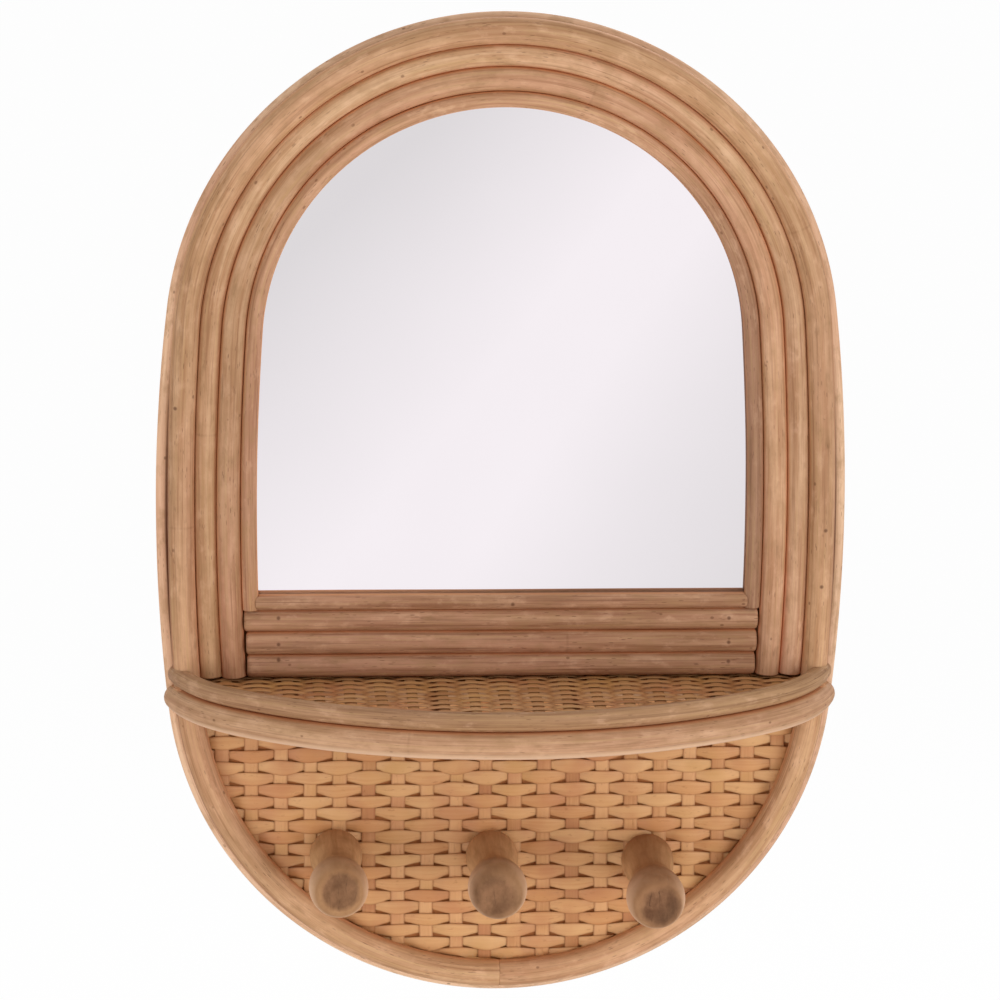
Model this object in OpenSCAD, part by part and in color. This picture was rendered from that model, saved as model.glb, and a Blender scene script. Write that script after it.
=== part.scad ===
// Oval cane wall mirror with an arched glass, a woven half-round shelf
// and a woven panel that carries three turned pegs.
//
// X runs to the right, Z up, and the object hangs in front of the wall plane y = 0,
// so its front faces -Y. The origin is on the wall, midway between the entry holes
// of the two keyhole plates that it hangs on.
//
// Three ways of drawing are used:
//   facing():  x right, y up, z = distance from the wall, from the oval's middle
//   planned(): x right, y = distance from the wall, z up, from the oval's middle
//   a bent pole is a chain of circular arcs, each a slice of a torus

/* [Overall] */
// Width over the edge ring
overall_w = 408; // [340:1:490]
// Height over the edge ring
overall_h = 592; // [520:1:710]
// How far each long side of the edge ring bows out past its end arcs
side_bow = 5.7; // [3:0.1:12]
// The same bow of the poles inside it
pole_bow = 3.3; // [2:0.1:10]
// Height of the keyhole entry holes above the oval's middle
hang_height = 110; // [60:5:120]

/* [Frame poles] */
// Diameter of the edge ring
ring_d = 9; // [7:0.5:12]
// How far the edge ring and the board sit below the middle of the poles' loops
ring_low = 1.8; // [0:0.1:3]
// Strip of the edge ring that shows outside the outer loop at the sides
ring_show_side = 7.2; // [5:0.1:9]
// The same strip at the top and the bottom
ring_show_end = 4.0; // [3.8:0.1:8]
// Diameter of the outer loop
loop_d = 15.4; // [12:0.2:18]
// Diameter of the middle arch
middle_d = 12.8; // [9:0.2:16]
// Diameter of the inner arch
inner_d = 14.0; // [9:0.2:17]
// Diameter of the bead round the glass
bead_d = 9.4; // [6:0.2:12]
// Diameter of the rail under the bead rail
upper_rail_d = 13.0; // [9:0.2:16]
// Diameter of the centre rail and the lower rail
rail_d = 13.6; // [9:0.2:16]
// Gap left between poles that lie side by side
pole_gap = 0.2; // [0.15:0.05:0.5]

/* [Back] */
// Plywood thickness of the backboard
board_t = 5; // [4:0.5:8]
// Thickness of the wall pads, which is the board's distance from the wall
pad_t = 3.5; // [2.5:0.5:6]
// Diameter of a wall pad
pad_d = 22; // [14:1:30]
// Gap between the edge ring's inside and the board's edge
board_gap = 0.3; // [0.2:0.1:1]

/* [Glass] */
// Thickness of the mirror glass
glass_t = 3; // [2:0.5:5]
// Thickness of the foam tape behind the glass
tape_t = 0.8; // [0.5:0.1:1.5]
// Width of one strip of tape
tape_w = 20; // [10:1:30]
// Distance of each strip's middle line from the middle
tape_x = 61; // [40:1:80]
// Gap between the strips and beyond their ends
tape_gap = 22; // [12:1:30]

/* [Shelf] */
// Depth of the shelf: its front rim's middle line from the wall
shelf_reach = 127; // [115:1:160]
// Depth of the shelf's top below the oval's middle
shelf_drop = 100.8; // [85:0.2:115]
// Diameter of the upper rim
top_rim_d = 11.5; // [9:0.5:14]
// Diameter of the lower rim
lower_rim_d = 16.4; // [12:0.2:19]
// Radius at which the rim turns back to the wall at its ends
rim_end_r = 110; // [100:1:115]
// Centre of that turn, measured behind the wall plane
rim_end_back = 14; // [8:1:20]
// Diameter of the bar along the shelf's back edge
back_bar_d = 12; // [8:0.5:14]
// Diameter of the rods under the shelf
slat_d = 6; // [4:0.5:8]
// Distance between the rods under the shelf
slat_pitch = 82; // [60:1:95]

/* [Weave] */
// Width of a flat cane stake
stake_w = 7; // [5:0.5:9]
// Thickness of the flat cane
cane_t = 1.0; // [0.8:0.1:1.2]
// Distance between stakes, panel
panel_stake_pitch = 17.4; // [15:0.1:22]
// Distance between rows of weavers, panel
panel_row_pitch = 7.2; // [6:0.1:9]
// Distance between stakes, shelf
shelf_stake_pitch = 18.1; // [15:0.1:22]
// Distance between rows of weavers, shelf
shelf_row_pitch = 5.3; // [4.5:0.1:7]
// Gap between neighbouring rows of weavers
row_gap = 0.3; // [0.2:0.1:0.8]
// Clearance between a weaver and the stake it passes
weave_clear = 0.12; // [0.1:0.02:0.3]

/* [Pegs] */
// Distance between pegs
peg_pitch = 93; // [70:1:110]
// How far the row of pegs sits to the left of the middle
peg_shift = 5; // [0:1:10]
// Height of the left peg above the frame's foot
peg_rise = 88; // [70:0.5:100]
// How much lower the centre peg sits
centre_peg_low = 1.5; // [0:0.5:8]
// How much lower the right peg sits
right_peg_low = 4; // [0:0.5:8]
// How far the right peg droops, in degrees
right_peg_droop = 3; // [0:0.5:5]
// Length of a peg in front of the weave
peg_len = 90; // [60:1:110]
// Largest diameter of the bulge at the foot of a peg
peg_foot_d = 31.5; // [26:0.5:40]
// Height of that bulge's widest part above the weave
peg_foot_t = 7; // [5:0.5:9]
// Diameter of the waist
peg_neck_d = 24.5; // [16:0.5:28]
// Largest diameter of the knob
peg_knob_d = 35; // [28:0.5:40]
// Diameter of the flat end of the knob
peg_face_d = 21; // [12:0.5:24]

/* [Fixings] */
// Shank diameter of a peg screw
peg_screw_d = 4; // [3:0.5:5]
// How far a peg screw reaches into its peg
peg_screw_bite = 28; // [15:1:40]
// Width of a keyhole plate
plate_w = 17; // [14:1:22]
// Height of a keyhole plate
plate_h = 46; // [40:1:60]
// Thickness of a keyhole plate
plate_t = 1.2; // [0.8:0.1:2]
// Diameter of the keyhole's entry
entry_d = 9; // [8:0.5:10]
// Width of the keyhole's slot
slot_w = 4.4; // [3.5:0.1:5]
// Length of the slot above the entry's centre
slot_len = 11; // [8:1:14]
// Distance of each plate from the middle
plate_x = 158; // [120:1:180]
// Shank diameter of a hanger screw
plate_screw_d = 3; // [2:0.5:3.5]
// Distance of each wall pad from the middle
pad_x = 102; // [60:1:130]
// Height of the upper wall pads above the oval's middle
pad_up = 163; // [100:1:190]
// Depth of the lower wall pads below the oval's middle
pad_down = 184; // [120:1:200]

/* [Hidden] */

// Round piece beside the piece that carries it
seat = 0.3;
// Edge ring in front of the wall
ring_wall_gap = 0.2;
// Outermost shelf stake's middle inside the rim's end
stake_edge = 4;
// A plate's screws from its ends, and what its screws leave of the board
plate_screw_end = 5.5;
plate_screw_short = 0.6;
// Screw in its hole, each side
screw_clear = 0.1;
// Weave in front of the board, peg in front of the weave
weave_seat = 0.1;
// Back edge of the shelf's weave in front of the board
shelf_seat = 0.5;
// How far the upper rim's middle line stands above the weave's
rim_rise = 2.3;
// Share of the lower rim's diameter that its ends stand in from the outline
rim_inset = 0.47;
// Angle by which a rim runs on before its ends are cut flat
rim_over = 2.5;
// Gap in the butt seam where a loop's two ends meet at its foot
seam = 0.4;
// Where two arcs of a pole join, one runs on inside the other, this much thinner
joint_step = 0.12;

// Facets of the arcs in a preview; the arcs are true circles
ARC_FN = 180;
ROD_FN = 32;

// Distances from the wall
ring_depth = ring_d / 2 + ring_wall_gap;
board_front = pad_t + board_t;
glass_front = board_front + tape_t + glass_t;
function resting(d) = board_front + pole_gap + d / 2;  // pole lying on the board
bead_depth = glass_front + pole_gap + bead_d / 2;

// An oval is [half width, half height, bow]: two end arcs about (0, +-h) and
// two side arcs about (-+k, 0) that meet them without a corner
outline = [overall_w / 2, overall_h / 2, side_bow];
poles = [overall_w / 2 - ring_show_side, overall_h / 2 - ring_show_end, pole_bow];
function end_r(o) = o[0] - o[2];
function end_h(o) = o[1] - end_r(o);
function side_k(o) = (pow(end_h(o), 2) - pow(o[2], 2)) / (2 * o[2]);
function side_r(o) = o[0] + side_k(o);
function turn(o) = atan(end_h(o) / side_k(o));
// Height at which the side arcs of an oval drawn in by off meet its end arcs
function join_y(o, off) = (side_r(o) - off) * sin(turn(o));
// Half the width of that oval at height y
function side_x(o, off, y) = abs(y) < join_y(o, off)
    ? sqrt(pow(side_r(o) - off, 2) - y * y) - side_k(o)
    : sqrt(pow(end_r(o) - off, 2) - pow(abs(y) - end_h(o), 2));
// Height of its upper end arc at x
function top_y(o, off, x) = end_h(o) + sqrt(pow(end_r(o) - off, 2) - x * x);

// How far each pole's middle line is drawn in from the poles' oval
loop_off = loop_d / 2;
middle_off = loop_d + pole_gap + middle_d / 2;
inner_off = middle_off + middle_d / 2 + pole_gap + inner_d / 2;
bead_off = inner_off + inner_d / 2 + pole_gap + bead_d / 2;

// Heights from the oval's middle, stacked up from the shelf
shelf_top = -shelf_drop;
lower_rail_y = shelf_top + seat + rail_d / 2;
centre_rail_y = lower_rail_y + rail_d + pole_gap;
upper_rail_y = centre_rail_y + rail_d / 2 + pole_gap + upper_rail_d / 2;
bead_rail_y = upper_rail_y + upper_rail_d / 2 + pole_gap + bead_d / 2;
arch_foot_y = shelf_top + seat;

// Glass: inside the inner arch, its foot behind the bead rail
glass_off = inner_off + inner_d / 2 - seat;
glass_foot_y = upper_rail_y + upper_rail_d / 2;

// Weave: a weaver clears each stake by weave_clear and rises a little higher over it
weave_rise = cane_t + weave_clear;
weave_crown = 0.25;
weave_half = weave_rise + weave_crown + cane_t / 2;
panel_depth = board_front + weave_seat + weave_half;
panel_front = panel_depth + weave_half;
shelf_mid_y = shelf_top - weave_half;

// Shelf: rims stacked, back bar and rods under the weave
top_rim_y = shelf_mid_y + rim_rise;
lower_rim_y = top_rim_y - top_rim_d / 2 - pole_gap - lower_rim_d / 2;
back_bar_y = shelf_mid_y - weave_half - pole_gap - back_bar_d / 2;
slat_y = shelf_mid_y - weave_half - pole_gap - slat_d / 2;
shelf_back = board_front + shelf_seat;

// Rim in plan: a front arc and two tighter end arcs that land on the edge ring
rim_land = ring_depth + ring_d / 2 + seat;
rim_x = side_x(outline, 0, top_rim_y + ring_low) - rim_inset * lower_rim_d;
rim_end_x = rim_x - sqrt(pow(rim_end_r, 2) - pow(rim_land + rim_end_back, 2));
rim_span = rim_end_back + shelf_reach;
rim_front_r = (pow(rim_end_x, 2) + pow(rim_span, 2) - pow(rim_end_r, 2)) / (2 * (rim_span - rim_end_r));
rim_turn = asin(rim_end_x / (rim_front_r - rim_end_r));
rim_tip = atan((rim_land + rim_end_back) / (rim_x - rim_end_x)) - rim_over;

// Panel: inside the outer loop's lower end arc, below the back bar
panel_off = loop_off + sqrt(pow(loop_d / 2, 2) - pow(resting(loop_d) - panel_front, 2)) + seat;
panel_top_y = back_bar_y - back_bar_d / 2 - seat;
panel_foot_y = -(poles[1] - panel_off);
panel_rows = round((panel_top_y - panel_foot_y) / panel_row_pitch);
panel_row = (panel_top_y - panel_foot_y) / panel_rows;
panel_half_w = poles[0] - panel_off;
panel_stakes = 2 * floor(panel_half_w / panel_stake_pitch);

// Shelf weave: from the board to the inside of the upper rim
shelf_front = shelf_reach - top_rim_d / 2 - seat;
shelf_rows = round((shelf_front - shelf_back) / shelf_row_pitch);
shelf_row = (shelf_front - shelf_back) / shelf_rows;
shelf_stakes = 2 * floor((rim_x - stake_edge) / shelf_stake_pitch) + 1;

// Each peg: place in x, place in y, droop
peg_y = peg_rise - overall_h / 2 - ring_low;
pegs = [[-peg_shift - peg_pitch, peg_y, 0], [-peg_shift, peg_y - centre_peg_low, 0],
        [-peg_shift + peg_pitch, peg_y - right_peg_low, right_peg_droop]];
peg_depth = panel_front + weave_seat;
plate_screw_y = plate_h / 2 - plate_screw_end;
plate_head_d = 2 * plate_screw_d;
plate_screw_l = board_t - plate_screw_short;

CANE = [0.78, 0.60, 0.44];
CANE_LIGHT = [0.82, 0.66, 0.48];
CANE_PINK = [0.72, 0.50, 0.37];
PEEL = [0.82, 0.60, 0.38];
PEEL_DARK = [0.70, 0.50, 0.32];
PEG_WOOD = [0.58, 0.42, 0.28];
PLY = [0.80, 0.68, 0.50];
GLASS = [0.88, 0.90, 0.92];
STEEL = [0.72, 0.72, 0.70];

// ---- Ways of drawing ----

module facing() {
    translate([0, 0, -hang_height]) rotate([90, 0, 0]) children();
}

module planned() {
    translate([0, 0, -hang_height]) mirror([0, 1, 0]) children();
}

// ---- Bent poles ----

// Slice of a torus about the z axis, from angle a0 to a1
module arc_rod(r, a0, a1, d) {
    rotate([0, 0, a0])
        rotate_extrude(angle = a1 - a0, $fn = ARC_FN)
            translate([r, 0])
                circle(d = d, $fn = ROD_FN);
}

// Angle that takes an arc of radius r a little way into the arc it joins
function lap(r) = 1 / r * 180 / PI;

// Rod bent right round an oval drawn in by off
module loop_rod(o, off, d) {
    r = side_r(o) - off;
    for (half = [0, 180])
        rotate([0, 0, half]) {
            translate([-side_k(o), 0, 0])
                arc_rod(r, -turn(o) - lap(r), turn(o) + lap(r), d - joint_step);
            translate([0, end_h(o), 0])
                arc_rod(end_r(o) - off, turn(o), 180 - turn(o), d);
        }
}

// The part of that rod above height foot, which leaves two feet cut level
module arch_rod(o, off, d, foot) {
    below = foot + o[1] + d;
    difference() {
        loop_rod(o, off, d);
        translate([-o[0], foot - below, -d]) cube([2 * o[0], below, 2 * d]);
    }
}

// Filled oval drawn in by off; its long sides stand joint_step / 2 further in
module oval(o, off) {
    for (side = [-1, 1])
        translate([0, side * end_h(o)]) circle(r = end_r(o) - off, $fn = ARC_FN);
    intersection() {
        translate([-side_k(o), 0]) circle(r = side_r(o) - off - joint_step / 2, $fn = 2 * ARC_FN);
        translate([side_k(o), 0]) circle(r = side_r(o) - off - joint_step / 2, $fn = 2 * ARC_FN);
        square([2 * o[0], 2 * join_y(o, off)], center = true);
    }
}

// The rim's path in plan, as a rod
module rim_rod(d) {
    translate([0, shelf_reach - rim_front_r, 0])
        arc_rod(rim_front_r, 90 - rim_turn, 90 + rim_turn, d);
    translate([rim_end_x, -rim_end_back, 0])
        arc_rod(rim_end_r, rim_tip, 90 - rim_turn + lap(rim_end_r), d - joint_step);
    translate([-rim_end_x, -rim_end_back, 0])
        arc_rod(rim_end_r, 90 + rim_turn - lap(rim_end_r), 180 - rim_tip, d - joint_step);
}

// The shelf's area in plan, drawn in from the rim's middle line by off
module shelf_area(off) {
    far = 2 * rim_front_r;
    difference() {
        union() {
            intersection() {
                translate([0, shelf_reach - rim_front_r]) circle(r = rim_front_r - off, $fn = 2 * ARC_FN);
                translate([0, shelf_reach - rim_front_r])
                    polygon([[0, 0], [far * sin(rim_turn), far * cos(rim_turn)],
                             [-far * sin(rim_turn), far * cos(rim_turn)]]);
            }
            for (side = [-1, 1])
                translate([side * rim_end_x, -rim_end_back]) circle(r = rim_end_r - off, $fn = ARC_FN);
        }
        translate([-overall_w, shelf_back - overall_w]) square([2 * overall_w, overall_w]);
    }
}

// ---- Weave ----

// Middle line of a weaver along its stakes: over one, under the next
function weaver_line(n, pitch, phase) = [
    for (i = [0 : n - 1], step = [-1, 0, 1])
        let (x = (i - (n - 1) / 2) * pitch, side = (i + phase) % 2 == 0 ? 1 : -1)
            [x + step * (stake_w / 2 + 0.4), side * (weave_rise + (step == 0 ? weave_crown : 0))]
];

// Flat band of that middle line, cane_t thick, run on past the last stakes
module weaver_band(n, pitch, phase) {
    line = weaver_line(n, pitch, phase);
    run = pitch * 0.9;
    last = line[len(line) - 1];
    whole = concat([[line[0][0] - run, 0]], line, [[last[0] + run, 0]]);
    polygon(concat(
        [for (p = whole) p + [0, cane_t / 2]],
        [for (i = [len(whole) - 1 : -1 : 0]) whole[i] - [0, cane_t / 2]]));
}

// Rows of weavers going up in y, their waves in z
module weaver_rows(rows, row, n, pitch) {
    for (i = [0 : rows - 1])
        translate([0, (i + 1) * row - row_gap / 2, 0])
            rotate([90, 0, 0])
                linear_extrude(height = row - row_gap)
                    weaver_band(n, pitch, i % 2);
}

// Straight flat stakes running up in y
module stake_rows(n, pitch, length) {
    for (i = [0 : n - 1])
        translate([(i - (n - 1) / 2) * pitch - stake_w / 2, 0, -cane_t / 2])
            cube([stake_w, length, cane_t]);
}

// Keeps what lies in the panel's area, with a way through for each peg screw
module panel_cut() {
    difference() {
        intersection() {
            translate([0, panel_foot_y, panel_depth]) children();
            translate([0, -end_h(poles), board_front - weave_half])
                cylinder(r = end_r(poles) - panel_off, h = 6 * weave_half, $fn = ARC_FN);
        }
        for (p = pegs)
            translate([p[0], p[1], board_front - 1])
                cylinder(d = peg_screw_d + 4 * screw_clear, h = 4 * weave_half, $fn = ROD_FN);
    }
}

// Keeps what lies in the shelf's area, clear of the outer loop
module shelf_cut() {
    difference() {
        intersection() {
            translate([0, shelf_back, shelf_mid_y]) children();
            translate([0, 0, shelf_mid_y - 2 * weave_half])
                linear_extrude(height = 4 * weave_half) shelf_area(top_rim_d / 2 + seat);
        }
        loop_notches(shelf_mid_y);
    }
}

// Room for the outer loop where it passes the shelf, as seen in plan
module loop_notches(y) {
    x = side_x(poles, loop_d, y - weave_half);
    for (side = [-1, 1])
        translate([side * (x + 1.5 * loop_d), resting(loop_d) - loop_d / 2, y])
            cube([3 * loop_d + 2 * seat, 2 * loop_d + 2 * seat, 4 * weave_half], center = true);
}

// The outer loop's sides and foot as they stand, grown all round by clear
module loop_below_top(clear) {
    d = loop_d + 2 * clear;
    r = side_r(poles) - loop_off;
    translate([0, 0, resting(loop_d)]) {
        for (half = [0, 180])
            rotate([0, 0, half])
                translate([-side_k(poles), 0, 0])
                    arc_rod(r, -turn(poles) - lap(r), turn(poles) + lap(r), d - joint_step);
        translate([0, -end_h(poles), 0])
            arc_rod(end_r(poles) - loop_off, 180 + turn(poles), 360 - turn(poles), d);
    }
}

// ---- Frame ----

module backboard() {
    color(PLY)
    facing() {
        difference() {
            translate([0, -ring_low, pad_t])
                linear_extrude(height = board_t) oval(outline, ring_d + board_gap);
            for (p = pegs)
                translate([p[0], p[1], pad_t]) {
                    translate([0, 0, -1])
                        cylinder(d = peg_screw_d + 2 * screw_clear, h = board_t + 2, $fn = ROD_FN);
                    screw_head(peg_screw_d, screw_clear);
                }
            for (side = [-1, 1])
                translate([side * plate_x, hang_height, pad_t]) {
                    translate([0, 0, -1])
                        linear_extrude(height = board_t + 2) keyhole(2);
                    for (end = [-1, 1])
                        translate([0, end * plate_screw_y, 0])
                            cylinder(d = plate_screw_d + 2 * screw_clear, h = plate_screw_l, $fn = ROD_FN);
                }
        }
    }
}

// A loop_rod with a butt seam at its foot
module seamed_loop(o, d) {
    difference() {
        loop_rod(o, d / 2, d);
        translate([-seam / 2, -o[1] - d, -d]) cube([seam, 3 * d, 2 * d]);
    }
}

module edge_ring() {
    color(CANE_LIGHT)
    facing() translate([0, -ring_low, ring_depth]) seamed_loop(outline, ring_d);
}

module outer_loop() {
    color(CANE)
    facing() translate([0, 0, resting(loop_d)]) seamed_loop(poles, loop_d);
}

module middle_arch() {
    color(CANE_LIGHT)
    facing() translate([0, 0, resting(middle_d)]) arch_rod(poles, middle_off, middle_d, arch_foot_y);
}

module inner_arch() {
    color(CANE)
    facing() translate([0, 0, resting(inner_d)]) arch_rod(poles, inner_off, inner_d, arch_foot_y);
}

// ---- Glass and bead ----

module mirror_glass() {
    color(GLASS)
    facing()
        translate([0, 0, board_front + tape_t])
            linear_extrude(height = glass_t)
                intersection() {
                    oval(poles, glass_off);
                    translate([-overall_w / 2, glass_foot_y]) square([overall_w, overall_h]);
                }
}

// Two strips, one above the other, on each side
module mirror_tape() {
    run = top_y(poles, glass_off, tape_x + tape_w / 2) - glass_foot_y;
    strip = (run - 3 * tape_gap) / 2;
    color("white")
    facing()
        for (side = [-1, 1], level = [0, 1])
            translate([side * tape_x - tape_w / 2,
                       glass_foot_y + tape_gap + level * (strip + tape_gap), board_front])
                cube([tape_w, strip, tape_t]);
}

// Above the two mitre lines where the bead meets the bead rail, raised by gap
module above_mitre(gap) {
    x = side_x(poles, bead_off, bead_rail_y - bead_d / 2);
    far = overall_h;
    translate([0, bead_rail_y + gap])
        polygon([[0, x], [x + far, -far], [x + far, far], [-x - far, far], [-x - far, -far]]);
}

module mirror_bead() {
    color(CANE_PINK)
    facing()
        intersection() {
            translate([0, 0, bead_depth]) arch_rod(poles, bead_off, bead_d, bead_rail_y - bead_d);
            linear_extrude(height = bead_depth + bead_d) above_mitre(pole_gap / 2);
        }
}

module bead_rail() {
    x = side_x(poles, bead_off, bead_rail_y);
    color(CANE_PINK)
    facing()
        difference() {
            translate([0, bead_rail_y, bead_depth])
                rotate([0, 90, 0])
                    cylinder(d = bead_d, h = 2 * x + 2 * bead_d, center = true, $fn = ROD_FN);
            linear_extrude(height = bead_depth + bead_d) above_mitre(-pole_gap / 2);
        }
}

// Straight rail between the inner arch's legs
module rail(y, d) {
    x = side_x(poles, inner_off + inner_d / 2, y - d / 2) - seat;
    color(CANE_PINK)
    facing()
        translate([0, y, resting(d)])
            rotate([0, 90, 0]) cylinder(d = d, h = 2 * x, center = true, $fn = ROD_FN);
}

module upper_rail() {
    rail(upper_rail_y, upper_rail_d);
}

module centre_rail() {
    rail(centre_rail_y, rail_d);
}

module lower_rail() {
    rail(lower_rail_y, rail_d);
}

// ---- Woven panel ----

module panel_stakes() {
    color(PEEL)
    facing()
        panel_cut() stake_rows(panel_stakes, panel_stake_pitch, panel_top_y - panel_foot_y);
}

module panel_weavers() {
    color(PEEL)
    facing()
        panel_cut() weaver_rows(panel_rows, panel_row, panel_stakes, panel_stake_pitch);
}

// ---- Shelf ----

module shelf_stakes() {
    color(PEEL_DARK)
    planned()
        shelf_cut() stake_rows(shelf_stakes, shelf_stake_pitch, shelf_reach);
}

module shelf_weavers() {
    color(PEEL_DARK)
    planned()
        shelf_cut() weaver_rows(shelf_rows, shelf_row, shelf_stakes, shelf_stake_pitch);
}

// A rim, notched where it clasps the outer loop, its ends cut flat in front of the ring
module rim(y, d) {
    color(CANE_LIGHT)
    difference() {
        planned() translate([0, 0, y]) rim_rod(d);
        facing() {
            loop_below_top(pole_gap);
            translate([-overall_w, y - d, 0]) cube([2 * overall_w, 2 * d, rim_land]);
        }
    }
}

module shelf_top_rim() {
    rim(top_rim_y, top_rim_d);
}

module shelf_lower_rim() {
    rim(lower_rim_y, lower_rim_d);
}

module shelf_back_bar() {
    x = side_x(poles, loop_d, back_bar_y - back_bar_d / 2) - seat;
    color(CANE)
    facing()
        translate([0, back_bar_y, resting(back_bar_d)])
            rotate([0, 90, 0]) cylinder(d = back_bar_d, h = 2 * x, center = true, $fn = ROD_FN);
}

module shelf_slats() {
    back = resting(back_bar_d) + back_bar_d / 2 + seat;
    inset = back + slat_d / 2;
    color(CANE)
    planned()
        difference() {
            for (i = [-1.5 : 1 : 1.5])
                translate([i * slat_pitch, back, slat_y])
                    rotate([-90, 0, 0])
                        cylinder(d = slat_d, h = rim_y_at(i * slat_pitch) - inset, $fn = ROD_FN);
            translate([0, 0, lower_rim_y]) rim_rod(lower_rim_d + 2 * pole_gap);
            translate([0, 0, top_rim_y]) rim_rod(top_rim_d + 2 * pole_gap);
        }
}

// The rim's middle line from the wall, at x
function rim_y_at(x) = abs(x) < rim_front_r * sin(rim_turn)
    ? shelf_reach - rim_front_r + sqrt(pow(rim_front_r, 2) - x * x)
    : -rim_end_back + sqrt(pow(rim_end_r, 2) - pow(abs(x) - rim_end_x, 2));

// ---- Pegs ----

// Blend from a to b as t goes from 0 to 1, level at both ends
function ease(a, b, t) = a + (b - a) * (1 - cos(180 * t)) / 2;

// Outline of a peg: rounded foot bulge, waist, round knob with a flat end
function peg_outline() = let (
    foot = peg_foot_d / 2, neck = peg_neck_d / 2, knob = peg_knob_d / 2, face = peg_face_d / 2,
    seat_r = 0.8 * foot, waist = 0.47 * peg_len, swell = peg_len - 0.9 * knob)
    concat(
        [[0, 0]],
        [for (a = [0 : 18 : 90])
            [seat_r + (foot - seat_r) * sin(a), peg_foot_t * (1 - cos(a))]],
        [for (t = [0.1 : 0.1 : 1]) [ease(foot, neck, t), peg_foot_t + (waist - peg_foot_t) * t]],
        [for (t = [0.1 : 0.1 : 1]) [ease(neck, knob, t), waist + (swell - waist) * t]],
        [for (a = [15 : 15 : 90])
            [face + (knob - face) * cos(a), swell + (peg_len - swell) * sin(a)]],
        [[0, peg_len]]);

// A peg on its place p; one that droops is cut flat where it meets the weave
module peg(p) {
    color(PEG_WOOD)
    facing()
        translate([p[0], p[1], peg_depth])
            difference() {
                rotate([p[2], 0, 0])
                    rotate_extrude($fn = 72) polygon(peg_outline());
                translate([0, 0, -1])
                    cylinder(d = peg_screw_d + 2 * screw_clear, h = peg_screw_bite + 2, $fn = ROD_FN);
                if (p[2] > 0)
                    translate([-peg_foot_d, -peg_foot_d, -2 * peg_foot_t])
                        cube([2 * peg_foot_d, 2 * peg_foot_d, 2 * peg_foot_t]);
            }
}

module left_peg() {
    peg(pegs[0]);
}

module centre_peg() {
    peg(pegs[1]);
}

module right_peg() {
    peg(pegs[2]);
}

// ---- Fixings ----

// Countersunk head standing on z = 0 and narrowing upwards, grown by clear
module screw_head(d, clear) {
    translate([0, 0, -0.01])
        cylinder(d1 = 2 * d + 2 * clear, d2 = d + 2 * clear, h = d / 2 + 0.01, $fn = ROD_FN);
}

module peg_screws() {
    color(STEEL)
    facing()
        for (p = pegs)
            translate([p[0], p[1], pad_t])
                union() {
                    cylinder(d1 = 2 * peg_screw_d, d2 = peg_screw_d, h = peg_screw_d / 2, $fn = ROD_FN);
                    cylinder(d = peg_screw_d, h = peg_depth - pad_t + peg_screw_bite, $fn = ROD_FN);
                }
}

// Keyhole outline, grown by clear: round entry below, slot going up
module keyhole(clear) {
    circle(d = entry_d + 2 * clear, $fn = ROD_FN);
    translate([-slot_w / 2 - clear, 0]) square([slot_w + 2 * clear, slot_len]);
    translate([0, slot_len]) circle(d = slot_w + 2 * clear, $fn = ROD_FN);
}

module hanger(side) {
    corner = 3;
    color(STEEL)
    facing()
        translate([side * plate_x, hang_height, pad_t - plate_t])
            difference() {
                union() {
                    translate([-plate_w / 2 + corner, -plate_h / 2, 0])
                        cube([plate_w - 2 * corner, plate_h, plate_t]);
                    translate([-plate_w / 2, -plate_h / 2 + corner, 0])
                        cube([plate_w, plate_h - 2 * corner, plate_t]);
                    for (a = [-1, 1], b = [-1, 1])
                        translate([a * (plate_w / 2 - corner), b * (plate_h / 2 - corner), 0])
                            cylinder(r = corner, h = plate_t, $fn = ROD_FN);
                }
                translate([0, 0, -1]) linear_extrude(height = plate_t + 2) keyhole(0);
                for (end = [-1, 1])
                    translate([0, end * plate_screw_y, -1])
                        cylinder(d = plate_screw_d + 2 * screw_clear, h = plate_t + 2, $fn = ROD_FN);
            }
}

module left_hanger() {
    hanger(-1);
}

module right_hanger() {
    hanger(1);
}

module hanger_screws() {
    head_t = 1.1;
    color(STEEL)
    facing()
        for (side = [-1, 1], end = [-1, 1])
            translate([side * plate_x, hang_height + end * plate_screw_y, pad_t - plate_t])
                union() {
                    translate([0, 0, -head_t]) cylinder(d1 = 0.7 * plate_head_d, d2 = plate_head_d,
                                                        h = head_t, $fn = ROD_FN);
                    cylinder(d = plate_screw_d, h = plate_t + plate_screw_l - screw_clear, $fn = ROD_FN);
                }
}

module wall_pads() {
    color("dimgray")
    facing()
        for (side = [-1, 1], level = [pad_up, -pad_down])
            translate([side * pad_x, level, 0])
                cylinder(d = pad_d, h = pad_t, $fn = ROD_FN);
}

backboard();
edge_ring();
outer_loop();
middle_arch();
inner_arch();
mirror_glass();
mirror_tape();
mirror_bead();
bead_rail();
upper_rail();
centre_rail();
lower_rail();
panel_stakes();
panel_weavers();
shelf_stakes();
shelf_weavers();
shelf_top_rim();
shelf_lower_rim();
shelf_back_bar();
shelf_slats();
left_peg();
centre_peg();
right_peg();
peg_screws();
left_hanger();
right_hanger();
hanger_screws();
wall_pads();
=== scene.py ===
"""Looks of an oval rattan wall mirror with a woven shelf and three turned pegs.

Poles are tubes carried along chains of circular arcs, the weave is bent bands between
straight stakes, and the pegs are turned profiles. Shapes are worked out in mm, seen from
the front or from above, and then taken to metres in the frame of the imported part: x to
the right, y into the wall, z up. Patterns and lamps are in metres in that frame.
"""
import math

import bpy
import numpy as np
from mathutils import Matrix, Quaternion, Vector


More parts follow.
